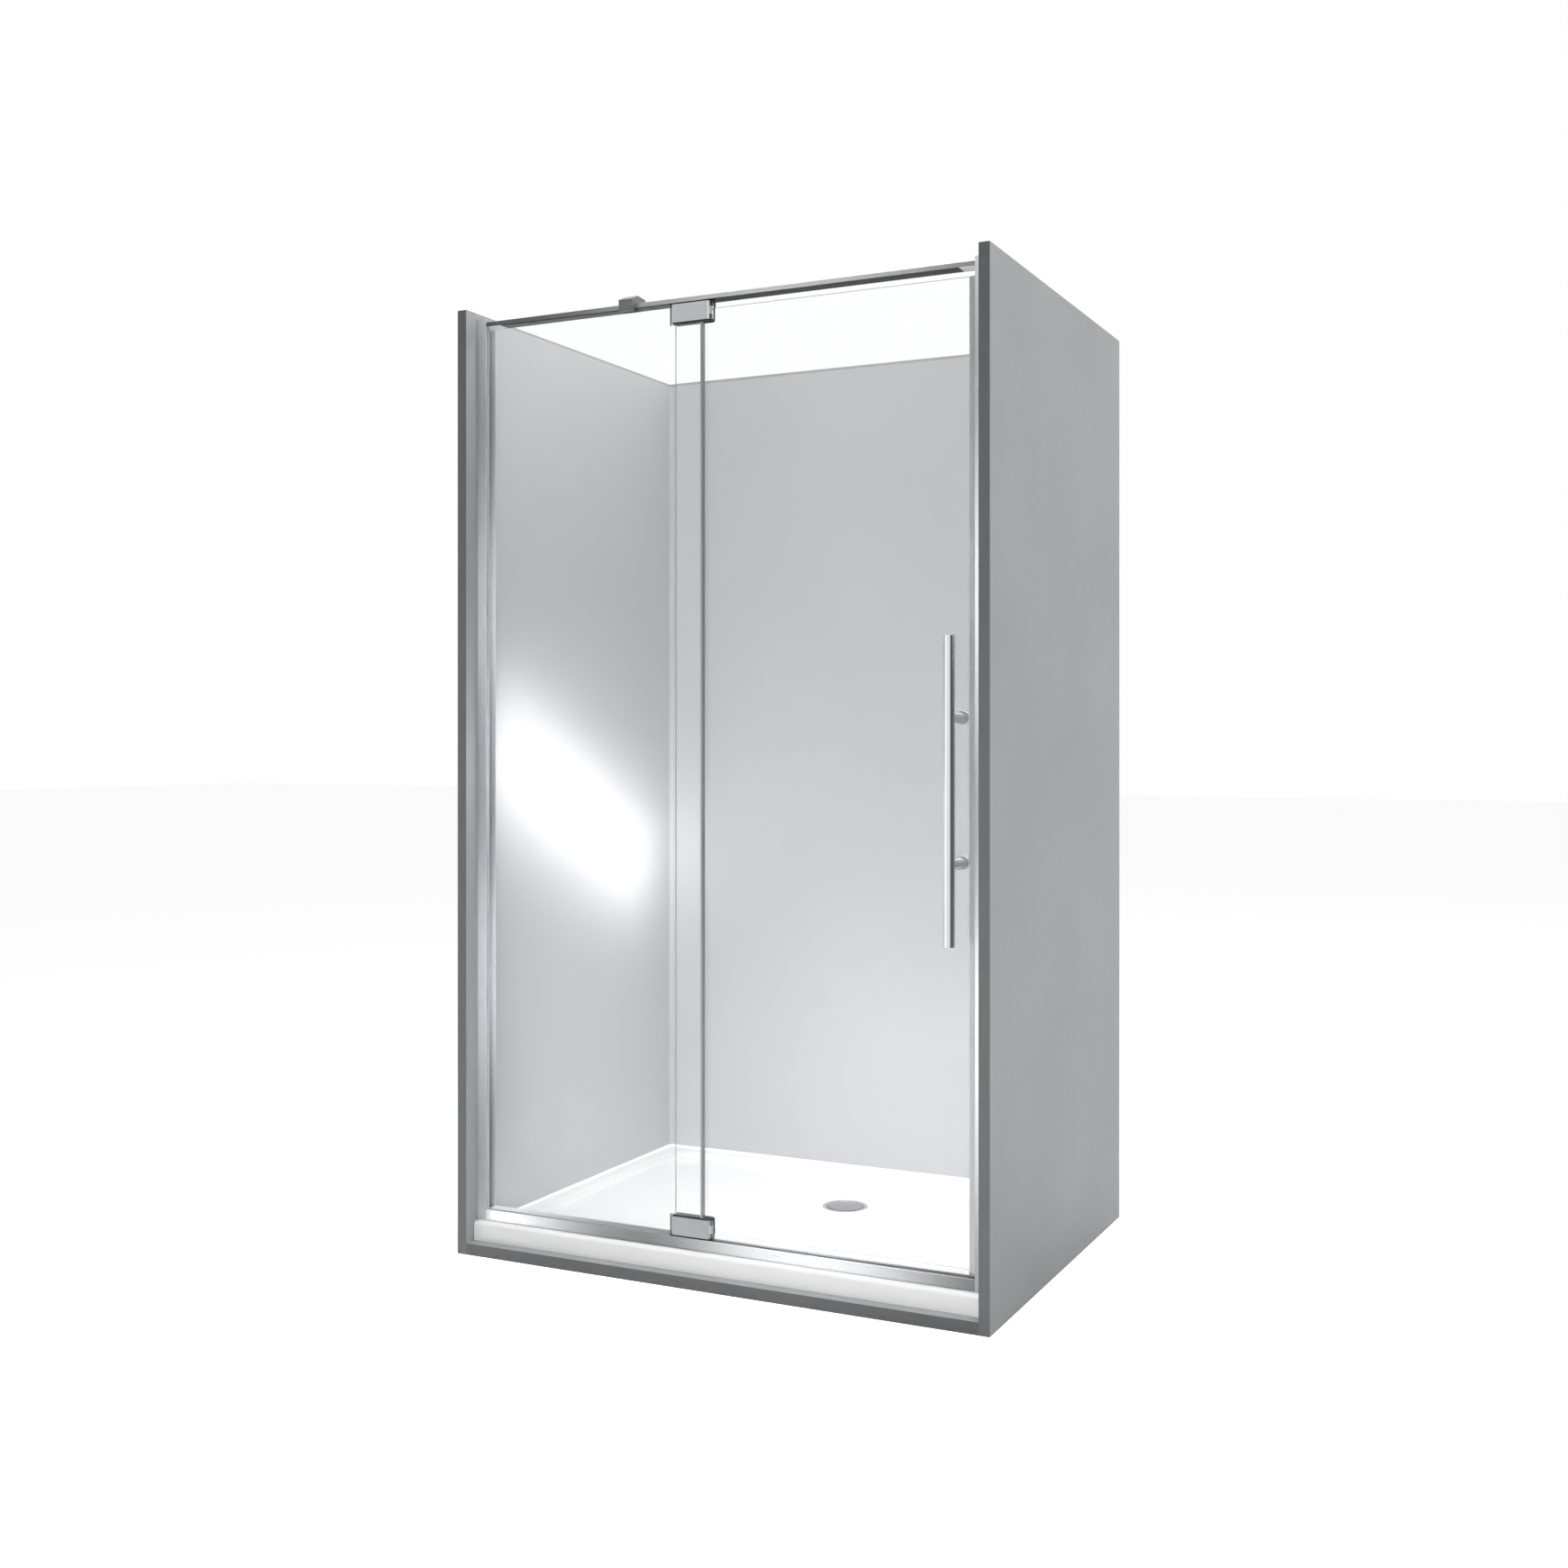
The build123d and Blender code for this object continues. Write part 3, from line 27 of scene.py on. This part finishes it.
# Grey levels out of 255, darkest and lightest, between which each surface varies
TONES = {
    "wall_face": (152, 162),
    # Painted shade: the darker colours for the front faces of walls and slab
    "wall_front_shade": (92, 98),
    "slab_face": (126, 136),
    "slab_front_shade": (80, 86),
    "liner": (182, 187),
    "tray": (203, 208),
    # Painted shade: the darker end of this range colours the pores
    "foam_and_pore_shade": (178, 214),
    "sealant": (236, 243),
    "fastener": (178, 200),
    "clamp": (100, 114),
    "rubber": (44, 60),
    # Painted shade: the dark strip's colour stands in for shade
    "infill_shade": (40, 54),
    "nylon": (224, 236),
    "ground_glass": (128, 150),
}
FLECK_LEVEL, FLECK_SHARE = 184, 0.12
GRIT_LEVEL, GRIT_SHARE = 190, 0.15
CHROME_SPREAD = 3
SEAL_SPREAD = 6

# Walls and slab have their front faces painted darker, as painted shade, in front of this Y
SHADED_FRONT_Y = -0.4495

# Metal and vinyl: levels out of 255; the aluminium's painted reflection bands run from low to high,
# with their peak and wave in metres along the axis
ALUMINIUM = {
    "aluminium_left": dict(stretch=ALONG_Z, axis="Z", sheen_peak=0.6, wave=0.8, low=198, high=255),
    "aluminium_right": dict(stretch=ALONG_Z, axis="Z", sheen_peak=0.53, wave=0.84, low=180, high=255),
    "aluminium_sill": dict(stretch=ALONG_X, axis="X", sheen_peak=0.22, wave=0.8, low=132, high=250),
    "aluminium_header": dict(stretch=ALONG_X, axis="X", sheen_peak=0.16, wave=1.3, low=88, high=206),
}
CHROME = {
    "hardware": dict(stretch=ALONG_Z, level=224, rough=0.1),
    "hardware_satin": dict(stretch=ALONG_Z, level=180, rough=0.26),
    "cap_satin": dict(stretch=ALONG_Z, level=249, rough=0.5),
}
SEALS = {
    "clear_seal": dict(stretch=ALONG_Z, level=205, clear=0.3),
    "clear_seal_grey": dict(stretch=ALONG_Z, level=148, clear=0.0),
    "clear_seal_white": dict(stretch=ALONG_X, level=247, clear=0.0),
}
VINYL_IOR = 1.49

GLASS_IOR = 1.5
GLASS_TINTS = (0.988, 0.993, 0.992, 1), (0.992, 0.997, 0.996, 1)
GLASS_SHADOW = (0.991, 0.996, 0.995, 1)
# Faces of the glass whose normal lies this far from Y are ground edges
RIM_FACING = 0.5

FLOOR_REACH = 30.0
FLOOR_DROP = 0.0005
FLOOR_COLOUR = (0.8, 0.8, 0.8, 1)
FLOOR_GLOW = 0.8
FLOOR_DARK = 0.12
FLOOR_SOFT = 2.0

# What gloss sees: bearings, the cosines between which each one sets in, and what it takes or adds
WORLD_FILL = 0.175
DARK_SIDE, DARK_SPAN, DARK_DEPTH = (0.966, -0.258, 0.0), (0.62, 0.96), 0.9
BEHIND, BEHIND_SPAN, BEHIND_DEPTH = (-0.36, 0.93, 0.0), (0.1, 1.0), 0.45
SOFT_BOX, SOFT_SPAN, SOFT_GAIN = (-0.819, -0.574, 0.0), (0.97, 0.995), 1.2
LEFT_SIDE, LEFT_SPAN, LEFT_DEPTH = (-1.0, 0.0, 0.0), (0.8, 1.0), 0.4

# Lamps: metres, watts, degrees
LAMPS = {
    "key": dict(at=(3.0, -5.4, 3.4), aim=(-0.3, 0.0, 1.0), size=(2.4, 2.4), power=24.0),
    "side": dict(at=(5.5, 1.5, 3.0), aim=(0.0, 0.0, 1.2), size=(3.0, 3.0), power=208.0),
    "top": dict(at=(0.0, -0.1, 4.6), aim=(0.0, 0.0, 0.0), size=(1.0, 0.8), power=20.0,
                spread=50.0),
    "low": dict(at=(0.3, -2.6, 0.5), aim=(0.15, 0.4, 0.2), size=(1.2, 0.4), power=36.0,
                glossy=False),
    "glow": dict(at=(0.1, -0.3, 0.27), aim=(0.1, 0.42, 0.33), size=(0.8, 0.1), power=2.0,
                 glossy=False),
    "band": dict(at=(-0.45, -0.03, 0.94), aim=(-0.57, -0.03, 0.94), size=(0.78, 0.24), power=1.6,
                 roll=-27.0, glossy=False),
}

# Pieces that look different from their slot's plain material
SPECIAL = {
    "left_jamb": "aluminium_left",
    "right_jamb": "aluminium_right",
    "sill_rail": "aluminium_sill",
    "header_rail": "aluminium_header",
    "bottom_pivot_block": "hardware_satin",
    "top_pivot_block": "hardware_satin",
    "bottom_clamp_plate": "hardware_satin",
    "top_clamp_plate": "hardware_satin",
    "block_cover_caps": "cap_satin",
    "waste_cover": "hardware_satin",
    "fixed_edge_seal": "clear_seal_grey",
    "door_sweep": "clear_seal_white",
    "sill_gaskets": "clear_seal_grey",
    "handle_posts": "cap_satin",
    "handle_buttons": "cap_satin",
}


def make_camera():
    data = bpy.data.cameras.new("camera")
    data.sensor_width = SENSOR
    data.lens = SENSOR * FOCAL_PIXELS / IMAGE
    data.shift_y = -(IMAGE / 2 - HORIZON_ROW) / IMAGE
    data.clip_start, data.clip_end = CLIP
    camera = bpy.data.objects.new("camera", data)
    camera.location = CAMERA_AT
    camera.rotation_euler = (math.radians(90), 0, CAMERA_YAW)
    bpy.context.scene.collection.objects.link(camera)
    bpy.context.scene.camera = camera


# Materials
class Tree:
    """Short calls for a material's node tree."""

    def __init__(self, name):
        self.material = bpy.data.materials.new(name)
        self.material.use_nodes = True
        self.nodes = self.material.node_tree.nodes
        self.links = self.material.node_tree.links
        self.shader = self.nodes["Principled BSDF"]
        self.output = self.nodes["Material Output"]
        self.place = self.nodes.new("ShaderNodeTexCoord").outputs["Object"]

    def add(self, kind, **inputs):
        node = self.nodes.new(kind)
        for name, value in inputs.items():
            self.put(node.inputs[name.replace("_", " ")], value)
        return node

    def put(self, socket, value):
        if isinstance(value, bpy.types.NodeSocket):
            self.links.new(value, socket)
        else:
            socket.default_value = value

    def noise(self, scale, stretch=(1, 1, 1), detail=3.0, rough=0.5, warp=0.0):
        """Noise by object place; a small share in stretch draws it out along that axis."""
        drawn = self.add("ShaderNodeMapping", Vector=self.place, Scale=stretch).outputs["Vector"]
        node = self.add("ShaderNodeTexNoise", Vector=drawn, Scale=scale, Detail=detail,
                        Roughness=rough, Distortion=warp)
        return node.outputs["Fac"]

    def ranged(self, value, low, high, start=0.25, end=0.75):
        """Value between start and end, mapped to low and high and held there outside."""
        node = self.add("ShaderNodeMapRange", Value=value)
        for i, v in enumerate((start, end, low, high), 1):
            node.inputs[i].default_value = v
        return node.outputs["Result"]

    def mixed(self, share, a, b):
        node = self.nodes.new("ShaderNodeMix")
        node.data_type = "RGBA"
        self.put(node.inputs["Factor"], share)
        self.put(node.inputs[MIX_A], a)
        self.put(node.inputs[MIX_B], b)
        return node.outputs[MIX_RESULT]

    def toned(self, height, name, tint=(1.0, 1.0, 1.0), start=0.25, end=0.75):
        """The colour of TONES that height calls for."""
        low, high = TONES[name]
        return self.mixed(self.ranged(height, 0, 1, start, end), rgb(low, tint), rgb(high, tint))

    def math(self, kind, a, b=0.0):
        node = self.nodes.new("ShaderNodeMath")
        node.operation = kind
        self.put(node.inputs[0], a)
        self.put(node.inputs[1], b)
        return node.outputs[0]

    def axis(self, name):
        node = self.add("ShaderNodeSeparateXYZ", Vector=self.place)
        return node.outputs[name]

    def bump(self, height, strength, distance, normal=None):
        node = self.add("ShaderNodeBump", Height=height, Strength=strength, Distance=distance)
        if normal is not None:
            self.links.new(normal, node.inputs["Normal"])
        return node.outputs["Normal"]

    def set(self, **inputs):
        for name, value in inputs.items():
            self.put(self.shader.inputs[name.replace("_", " ")], value)


def rgb(level, tint=(1.0, 1.0, 1.0)):
    """A linear colour from an sRGB grey level out of 255 and a tint."""
    v = level / 255
    linear = v / 12.92 if v <= 0.04045 else ((v + 0.055) / 1.055) ** 2.4
    return (linear * tint[0], linear * tint[1], linear * tint[2], 1.0)


def wall_material():
    """Matt grey laminate, its front face painted darker as painted shade."""
    t = Tree("wall_panel")
    face = t.toned(t.noise(3.0, detail=4), "wall_face", COOL)
    fleck = t.ranged(t.noise(900, detail=2), 0.0, 1.0, 0.35, 0.65)
    face = t.mixed(t.math("MULTIPLY", fleck, FLECK_SHARE), face, rgb(FLECK_LEVEL, COOL))
    # Painted shade: the front faces take a darker colour than the rest of the wall
    front_shade = t.toned(t.noise(60, (1, 1, 0.2), detail=4), "wall_front_shade", COOL)
    front = t.math("LESS_THAN", t.axis("Y"), SHADED_FRONT_Y)
    t.set(Base_Color=t.mixed(front, face, front_shade))
    t.set(Roughness=t.ranged(t.noise(40, detail=3), 0.48, 0.6))
    t.set(Normal=t.bump(t.noise(1400, detail=2), 0.12, 0.0004))
    return t.material


def slab_material():
    """The floor slab: grey like the walls, with a little grit and its front face painted darker as
    painted shade.
    """
    t = Tree("floor_slab")
    face = t.toned(t.noise(5.0, detail=5), "slab_face", COOL)
    grit = t.ranged(t.noise(700, detail=3, rough=0.7), 0.0, 1.0, 0.4, 0.7)
    face = t.mixed(t.math("MULTIPLY", grit, GRIT_SHARE), face, rgb(GRIT_LEVEL, COOL))
    # Painted shade: the front face takes a darker colour than the rest of the slab
    front_shade = t.toned(t.noise(60, (0.2, 1, 1), detail=4), "slab_front_shade", COOL)
    front = t.math("LESS_THAN", t.axis("Y"), SHADED_FRONT_Y)
    t.set(Base_Color=t.mixed(front, face, front_shade))
    t.set(Roughness=t.ranged(t.noise(60, detail=3), 0.5, 0.65))
    t.set(Normal=t.bump(t.noise(1100, detail=3), 0.15, 0.0004))
    return t.material


def liner_material():
    """Pale gloss acrylic sheet: a little waviness and the faintest clouding."""
    t = Tree("liner")
    t.set(Base_Color=t.toned(t.noise(1.6, detail=3, warp=0.4), "liner", COOL))
    t.set(Roughness=t.ranged(t.noise(9, detail=3), 0.3, 0.34))
    t.set(Normal=t.bump(t.noise(700, detail=2), 0.006, 0.0002))
    t.set(Coat_Weight=0.15, Coat_Roughness=0.15)
    return t.material


def tray_material():
    """White gloss acrylic."""
    t = Tree("tray")
    t.set(Base_Color=t.toned(t.noise(2.2, detail=3), "tray"))
    t.set(Roughness=t.ranged(t.noise(14, detail=4), 0.14, 0.24))
    wave = t.bump(t.noise(4.0, detail=1), 0.06, 0.01)
    t.set(Normal=t.bump(t.noise(640, detail=2), 0.03, 0.0003, wave))
    t.set(Coat_Weight=0.4, Coat_Roughness=0.06)
    return t.material


def foam_material():
    """Rigid foam with open pores, painted darker inside them as shade."""
    t = Tree("bed")
    pores = t.add("ShaderNodeTexVoronoi", Vector=t.place, Scale=420.0).outputs["Distance"]
    # Painted shade: the colour darkens toward each pore's centre, where the bump sinks
    t.set(Base_Color=t.toned(pores, "foam_and_pore_shade", WARM, start=0.0, end=0.6))
    t.set(Roughness=0.9, Normal=t.bump(pores, 0.6, 0.0012))
    return t.material


def silicone_material():
    """White sealant, drawn along its length."""
    t = Tree("sealant")
    t.set(Base_Color=t.toned(t.noise(30, detail=4), "sealant"))
    t.set(Roughness=t.ranged(t.noise(120, detail=2), 0.32, 0.45))
    t.set(Normal=t.bump(t.noise(160, (0.3, 0.3, 1), detail=2), 0.2, 0.0006), Subsurface_Weight=0.08)
    return t.material


def aluminium_material(name, stretch, axis, sheen_peak, wave, low, high):
    """Anodised aluminium, brushed along its length, with painted reflection: slow waves of colour
    from low to high.
    """
    t = Tree(name)
    grain = t.noise(900, stretch, detail=4, rough=0.6)
    # Painted reflection: the colour swings between low and high in a cosine along the axis,
    # standing in for reflected light and shade
    way = t.math("ADD", t.axis(axis), t.math("MULTIPLY", t.noise(2.0, detail=2), 0.12))
    turn = t.math("MULTIPLY", t.math("SUBTRACT", way, sheen_peak + 0.06), 2 * math.pi / wave)
    share = t.ranged(t.math("COSINE", turn), 0, 1, -1, 1)
    sheen_and_grain = t.mixed(share, rgb(low, COOL), rgb(high, COOL))
    sheen_and_grain = t.mixed(t.ranged(grain, 0.0, 0.2, 0.3, 0.75), sheen_and_grain, rgb(low, COOL))
    t.set(Base_Color=sheen_and_grain, Metallic=0.6)
    t.set(Roughness=t.ranged(grain, 0.26, 0.4, 0.3, 0.7))
    t.set(Normal=t.bump(grain, 0.1, 0.0002))
    return t.material


def chrome_material(name, stretch, level, rough):
    """Plated metal: smooth, with the finest drawn grain and a few faint smears."""
    t = Tree(name)
    grain = t.noise(1500, stretch, detail=3, rough=0.6)
    smear = t.noise(14, (1, 1, 1), detail=3, rough=0.5, warp=0.5)
    dull, bright = rgb(level - CHROME_SPREAD, COOL), rgb(level + CHROME_SPREAD, COOL)
    t.set(Base_Color=t.mixed(t.ranged(smear, 0, 1), dull, bright), Metallic=1.0)
    smeared = t.ranged(smear, rough, rough + 0.04, 0.35, 0.7)
    t.set(Roughness=t.math("ADD", smeared, t.ranged(grain, 0.0, 0.03)))
    t.set(Normal=t.bump(grain, 0.02, 0.0001))
    return t.material


def steel_material():
    """Stainless screws, finely turned."""
    t = Tree("fastener")
    grain = t.noise(1800, (1, 0.1, 1), detail=3)
    t.set(Base_Color=t.toned(grain, "fastener", COOL), Metallic=1.0)
    t.set(Roughness=t.ranged(t.noise(300, detail=3), 0.25, 0.4), Normal=t.bump(grain, 0.1, 0.0001))
    return t.material


def clamp_material():
    """Dark grey paint on a casting, with orange peel."""
    t = Tree("dark_clamp")
    t.set(Base_Color=t.toned(t.noise(80, detail=4), "clamp", COOL))
    t.set(Roughness=t.ranged(t.noise(400, detail=2), 0.34, 0.48))
    t.set(Normal=t.bump(t.noise(1300, detail=2), 0.25, 0.0004), Coat_Weight=0.2, Coat_Roughness=0.2)
    return t.material


def rubber_material():
    """Black rubber, matt."""
    t = Tree("dark_rubber")
    t.set(Base_Color=t.toned(t.noise(70, detail=4), "rubber"))
    t.set(Roughness=t.ranged(t.noise(500, detail=2), 0.55, 0.75))
    t.set(Normal=t.bump(t.noise(1500, detail=2), 0.2, 0.0003))
    return t.material


def infill_shade_material():
    """Dark strip, drawn along X, coloured dark as painted shade."""
    t = Tree("dark_infill")
    lines = t.noise(700, (0.02, 1, 1), detail=2)
    # Painted shade: a dark colour put where there is shade
    t.set(Base_Color=t.toned(lines, "infill_shade", COOL))
    t.set(Roughness=t.ranged(lines, 0.4, 0.6), Normal=t.bump(lines, 0.25, 0.0004))
    return t.material


def seal_material(name, stretch, level, clear):
    """Soft vinyl strip with faint drawing lines; clear is how much light goes through."""
    t = Tree(name)
    lines = t.noise(800, stretch, detail=2)
    dark, light = rgb(level - SEAL_SPREAD, COOL), rgb(level + SEAL_SPREAD, COOL)
    t.set(Base_Color=t.mixed(t.ranged(lines, 0, 1), dark, light))
    t.set(Roughness=t.ranged(lines, 0.25, 0.4), Normal=t.bump(lines, 0.12, 0.0003))
    t.set(Transmission_Weight=clear, IOR=VINYL_IOR)
    return t.material


def nylon_material():
    """White nylon."""
    t = Tree("nylon")
    t.set(Base_Color=t.toned(t.noise(50, detail=3), "nylon"))
    t.set(Roughness=t.ranged(t.noise(300, detail=2), 0.4, 0.55))
    t.set(Normal=t.bump(t.noise(900, detail=2), 0.1, 0.0003))
    return t.material


def glass_material():
    """Clear toughened glass that lets the lamps through, with ground grey edges."""
    t = Tree("glass")
    t.set(Base_Color=t.mixed(t.ranged(t.noise(1.2, detail=2), 0, 1), *GLASS_TINTS))
    t.set(Transmission_Weight=1.0, IOR=GLASS_IOR)
    t.set(Roughness=t.ranged(t.noise(3.0, detail=4), 0.0, 0.012, 0.45, 0.8))
    clear = t.add("ShaderNodeBsdfTransparent", Color=GLASS_SHADOW)
    path = t.nodes.new("ShaderNodeLightPath")
    passes = t.math("MAXIMUM", path.outputs["Is Shadow Ray"], path.outputs["Is Diffuse Ray"])
    both = t.add("ShaderNodeMixShader")
    t.links.new(passes, both.inputs[0])
    t.links.new(t.shader.outputs[0], both.inputs[1])
    t.links.new(clear.outputs[0], both.inputs[2])
    ground = t.add("ShaderNodeBsdfPrincipled", Roughness=t.ranged(t.noise(500, detail=3), 0.4, 0.6))
    t.put(ground.inputs["Base Color"], t.toned(t.noise(240, detail=3), "ground_glass"))
    t.put(ground.inputs["Normal"], t.bump(t.noise(900, detail=2), 0.2, 0.0002))
    facing = t.nodes.new("ShaderNodeSeparateXYZ")
    t.links.new(t.nodes.new("ShaderNodeTexCoord").outputs["Normal"], facing.inputs[0])
    rim = t.math("LESS_THAN", t.math("ABSOLUTE", facing.outputs["Y"]), RIM_FACING)
    whole = t.add("ShaderNodeMixShader")
    t.links.new(rim, whole.inputs[0])
    t.links.new(both.outputs[0], whole.inputs[1])
    t.links.new(ground.outputs[0], whole.inputs[2])
    t.links.new(whole.outputs[0], t.output.inputs["Surface"])
    return t.material


# Stage
def make_floor():
    """Pale floor, white to the camera and the glass, that shows gloss the world's bearings."""
    mesh = bpy.data.meshes.new("floor")
    r = FLOOR_REACH
    mesh.from_pydata([(-r, -r, 0), (r, -r, 0), (r, r, 0), (-r, r, 0)], [], [(0, 1, 2, 3)])
    floor = bpy.data.objects.new("floor", mesh)
    floor.location.z = -FLOOR_DROP
    bpy.context.scene.collection.objects.link(floor)
    t = Tree("floor")
    t.set(Base_Color=FLOOR_COLOUR, Roughness=0.9, Specular_IOR_Level=0.1)
    path = t.nodes.new("ShaderNodeLightPath")
    glow = t.add("ShaderNodeEmission", Color=WHITE, Strength=FLOOR_GLOW)
    lit = t.add("ShaderNodeAddShader")
    t.links.new(t.shader.outputs[0], lit.inputs[0])
    t.links.new(glow.outputs[0], lit.inputs[1])
    way = t.add("ShaderNodeVectorMath", Vector=t.place)
    way.operation = "NORMALIZE"

    def bearing(direction, start, end, last):
        """1 that turns to last where the floor's place comes near the direction."""
        dot = t.nodes.new("ShaderNodeVectorMath")
        dot.operation = "DOT_PRODUCT"
        t.links.new(way.outputs["Vector"], dot.inputs[0])
        dot.inputs[1].default_value = direction
        return t.ranged(dot.outputs["Value"], 1.0, last, start, end)

    dark = bearing(DARK_SIDE, *DARK_SPAN, FLOOR_DARK)
    strength = t.math("MULTIPLY", dark, bearing(SOFT_BOX, *SOFT_SPAN, FLOOR_SOFT))
    mirrored = t.add("ShaderNodeEmission", Strength=strength)
    seen = t.math("MAXIMUM", path.outputs["Is Camera Ray"], path.outputs["Is Transmission Ray"])
    first = t.add("ShaderNodeMixShader")
    t.links.new(seen, first.inputs[0])
    t.links.new(t.shader.outputs[0], first.inputs[1])
    t.links.new(lit.outputs[0], first.inputs[2])
    both = t.add("ShaderNodeMixShader")
    t.links.new(path.outputs["Is Glossy Ray"], both.inputs[0])
    t.links.new(first.outputs[0], both.inputs[1])
    t.links.new(mirrored.outputs[0], both.inputs[2])
    t.links.new(both.outputs[0], t.output.inputs["Surface"])
    mesh.materials.append(t.material)


def make_world():
    """White for the camera and glass, softly uneven for gloss, and a plain fill for the rest."""
    world = bpy.data.worlds.new("world")
    world.use_nodes = True
    nodes, links = world.node_tree.nodes, world.node_tree.links
    nodes.clear()

    def math_node(kind, a, b):
        node = nodes.new("ShaderNodeMath")
        node.operation = kind
        for socket, value in zip(node.inputs, (a, b)):
            if isinstance(value, bpy.types.NodeSocket):
                links.new(value, socket)
            else:
                socket.default_value = value
        return node.outputs[0]

    def towards(direction, start, end, depth):
        """1 less depth where the bearing's cosine with the direction goes from start to end."""
        dot = nodes.new("ShaderNodeVectorMath")
        dot.operation = "DOT_PRODUCT"
        links.new(bearing.outputs["Vector"], dot.inputs[0])
        dot.inputs[1].default_value = direction
        fall = nodes.new("ShaderNodeMapRange")
        fall.interpolation_type = "SMOOTHSTEP"
        links.new(dot.outputs["Value"], fall.inputs["Value"])
        for i, value in enumerate((start, end, 1.0, 1.0 - depth), 1):
            fall.inputs[i].default_value = value
        return fall.outputs["Result"]

    def background(strength):
        node = nodes.new("ShaderNodeBackground")
        node.inputs["Color"].default_value = WHITE
        if isinstance(strength, bpy.types.NodeSocket):
            links.new(strength, node.inputs["Strength"])
        else:
            node.inputs["Strength"].default_value = strength
        return node.outputs[0]

    def choose(share, a, b):
        node = nodes.new("ShaderNodeMixShader")
        for socket, value in zip(node.inputs, (share, a, b)):
            links.new(value, socket)
        return node.outputs[0]

    level = nodes.new("ShaderNodeVectorMath")
    level.operation = "MULTIPLY"
    level.inputs[1].default_value = (1, 1, 0)
    links.new(nodes.new("ShaderNodeTexCoord").outputs["Generated"], level.inputs[0])
    bearing = nodes.new("ShaderNodeVectorMath")
    bearing.operation = "NORMALIZE"
    links.new(level.outputs["Vector"], bearing.inputs[0])
    path = nodes.new("ShaderNodeLightPath")
    gloss = towards(DARK_SIDE, *DARK_SPAN, DARK_DEPTH)
    gloss = math_node("MULTIPLY", gloss, towards(BEHIND, *BEHIND_SPAN, BEHIND_DEPTH))
    gloss = math_node("MULTIPLY", gloss, towards(SOFT_BOX, *SOFT_SPAN, -SOFT_GAIN))
    gloss = math_node("MULTIPLY", gloss, towards(LEFT_SIDE, *LEFT_SPAN, LEFT_DEPTH))
    seen = math_node("MAXIMUM", path.outputs["Is Camera Ray"], path.outputs["Is Transmission Ray"])
    mirrored = choose(path.outputs["Is Glossy Ray"], background(WORLD_FILL), background(gloss))
    out = nodes.new("ShaderNodeOutputWorld")
    links.new(choose(seen, mirrored, background(1.0)), out.inputs["Surface"])
    bpy.context.scene.world = world


def lamp(name, at, aim, size, power, roll=0.0, spread=180.0, glossy=True):
    """An area lamp of size (width, height), turned by roll about its own axis."""
    data = bpy.data.lights.new(name, "AREA")
    data.shape = "RECTANGLE"
    data.size, data.size_y = size
    data.energy = power
    data.spread = math.radians(spread)
    obj = bpy.data.objects.new(name, data)
    obj.location = at
    facing = (Vector(aim) - Vector(at)).to_track_quat("-Z", "Y")
    obj.rotation_euler = (facing @ Quaternion((0, 0, 1), math.radians(roll))).to_euler()
    obj.visible_camera = False
    obj.visible_transmission = False
    obj.visible_glossy = glossy
    bpy.context.scene.collection.objects.link(obj)


make_camera()
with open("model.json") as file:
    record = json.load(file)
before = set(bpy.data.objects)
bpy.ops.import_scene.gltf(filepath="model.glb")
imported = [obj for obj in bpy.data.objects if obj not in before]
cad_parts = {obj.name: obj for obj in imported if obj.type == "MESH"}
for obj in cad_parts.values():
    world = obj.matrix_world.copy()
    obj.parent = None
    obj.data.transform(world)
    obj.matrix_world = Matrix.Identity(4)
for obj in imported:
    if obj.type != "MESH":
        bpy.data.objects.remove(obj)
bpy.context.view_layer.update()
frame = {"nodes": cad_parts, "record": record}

LOOKS = {
    "wall_panel": wall_material(),
    "floor_slab": slab_material(),
    "liner": liner_material(),
    "tray": tray_material(),
    "bed": foam_material(),
    "sealant": silicone_material(),
    "fastener": steel_material(),
    "dark_clamp": clamp_material(),
    "dark_rubber": rubber_material(),
    "dark_infill": infill_shade_material(),
    "nylon": nylon_material(),
    "glass": glass_material(),
}
for make, table in (
    (aluminium_material, ALUMINIUM),
    (chrome_material, CHROME),
    (seal_material, SEALS),
):
    for name, values in table.items():
        LOOKS[name] = make(name, **values)

for part in frame["record"]["subparts"]:
    node, slot = part["node"], part["material_slot"]
    obj = frame["nodes"][node]
    look = SPECIAL.get(node, slot)
    obj.data.materials.clear()
    obj.data.materials.append(LOOKS[look])

make_floor()
make_world()
for name, values in LAMPS.items():
    lamp(name, **values)

view = bpy.context.scene.view_settings
view.view_transform = "Standard"
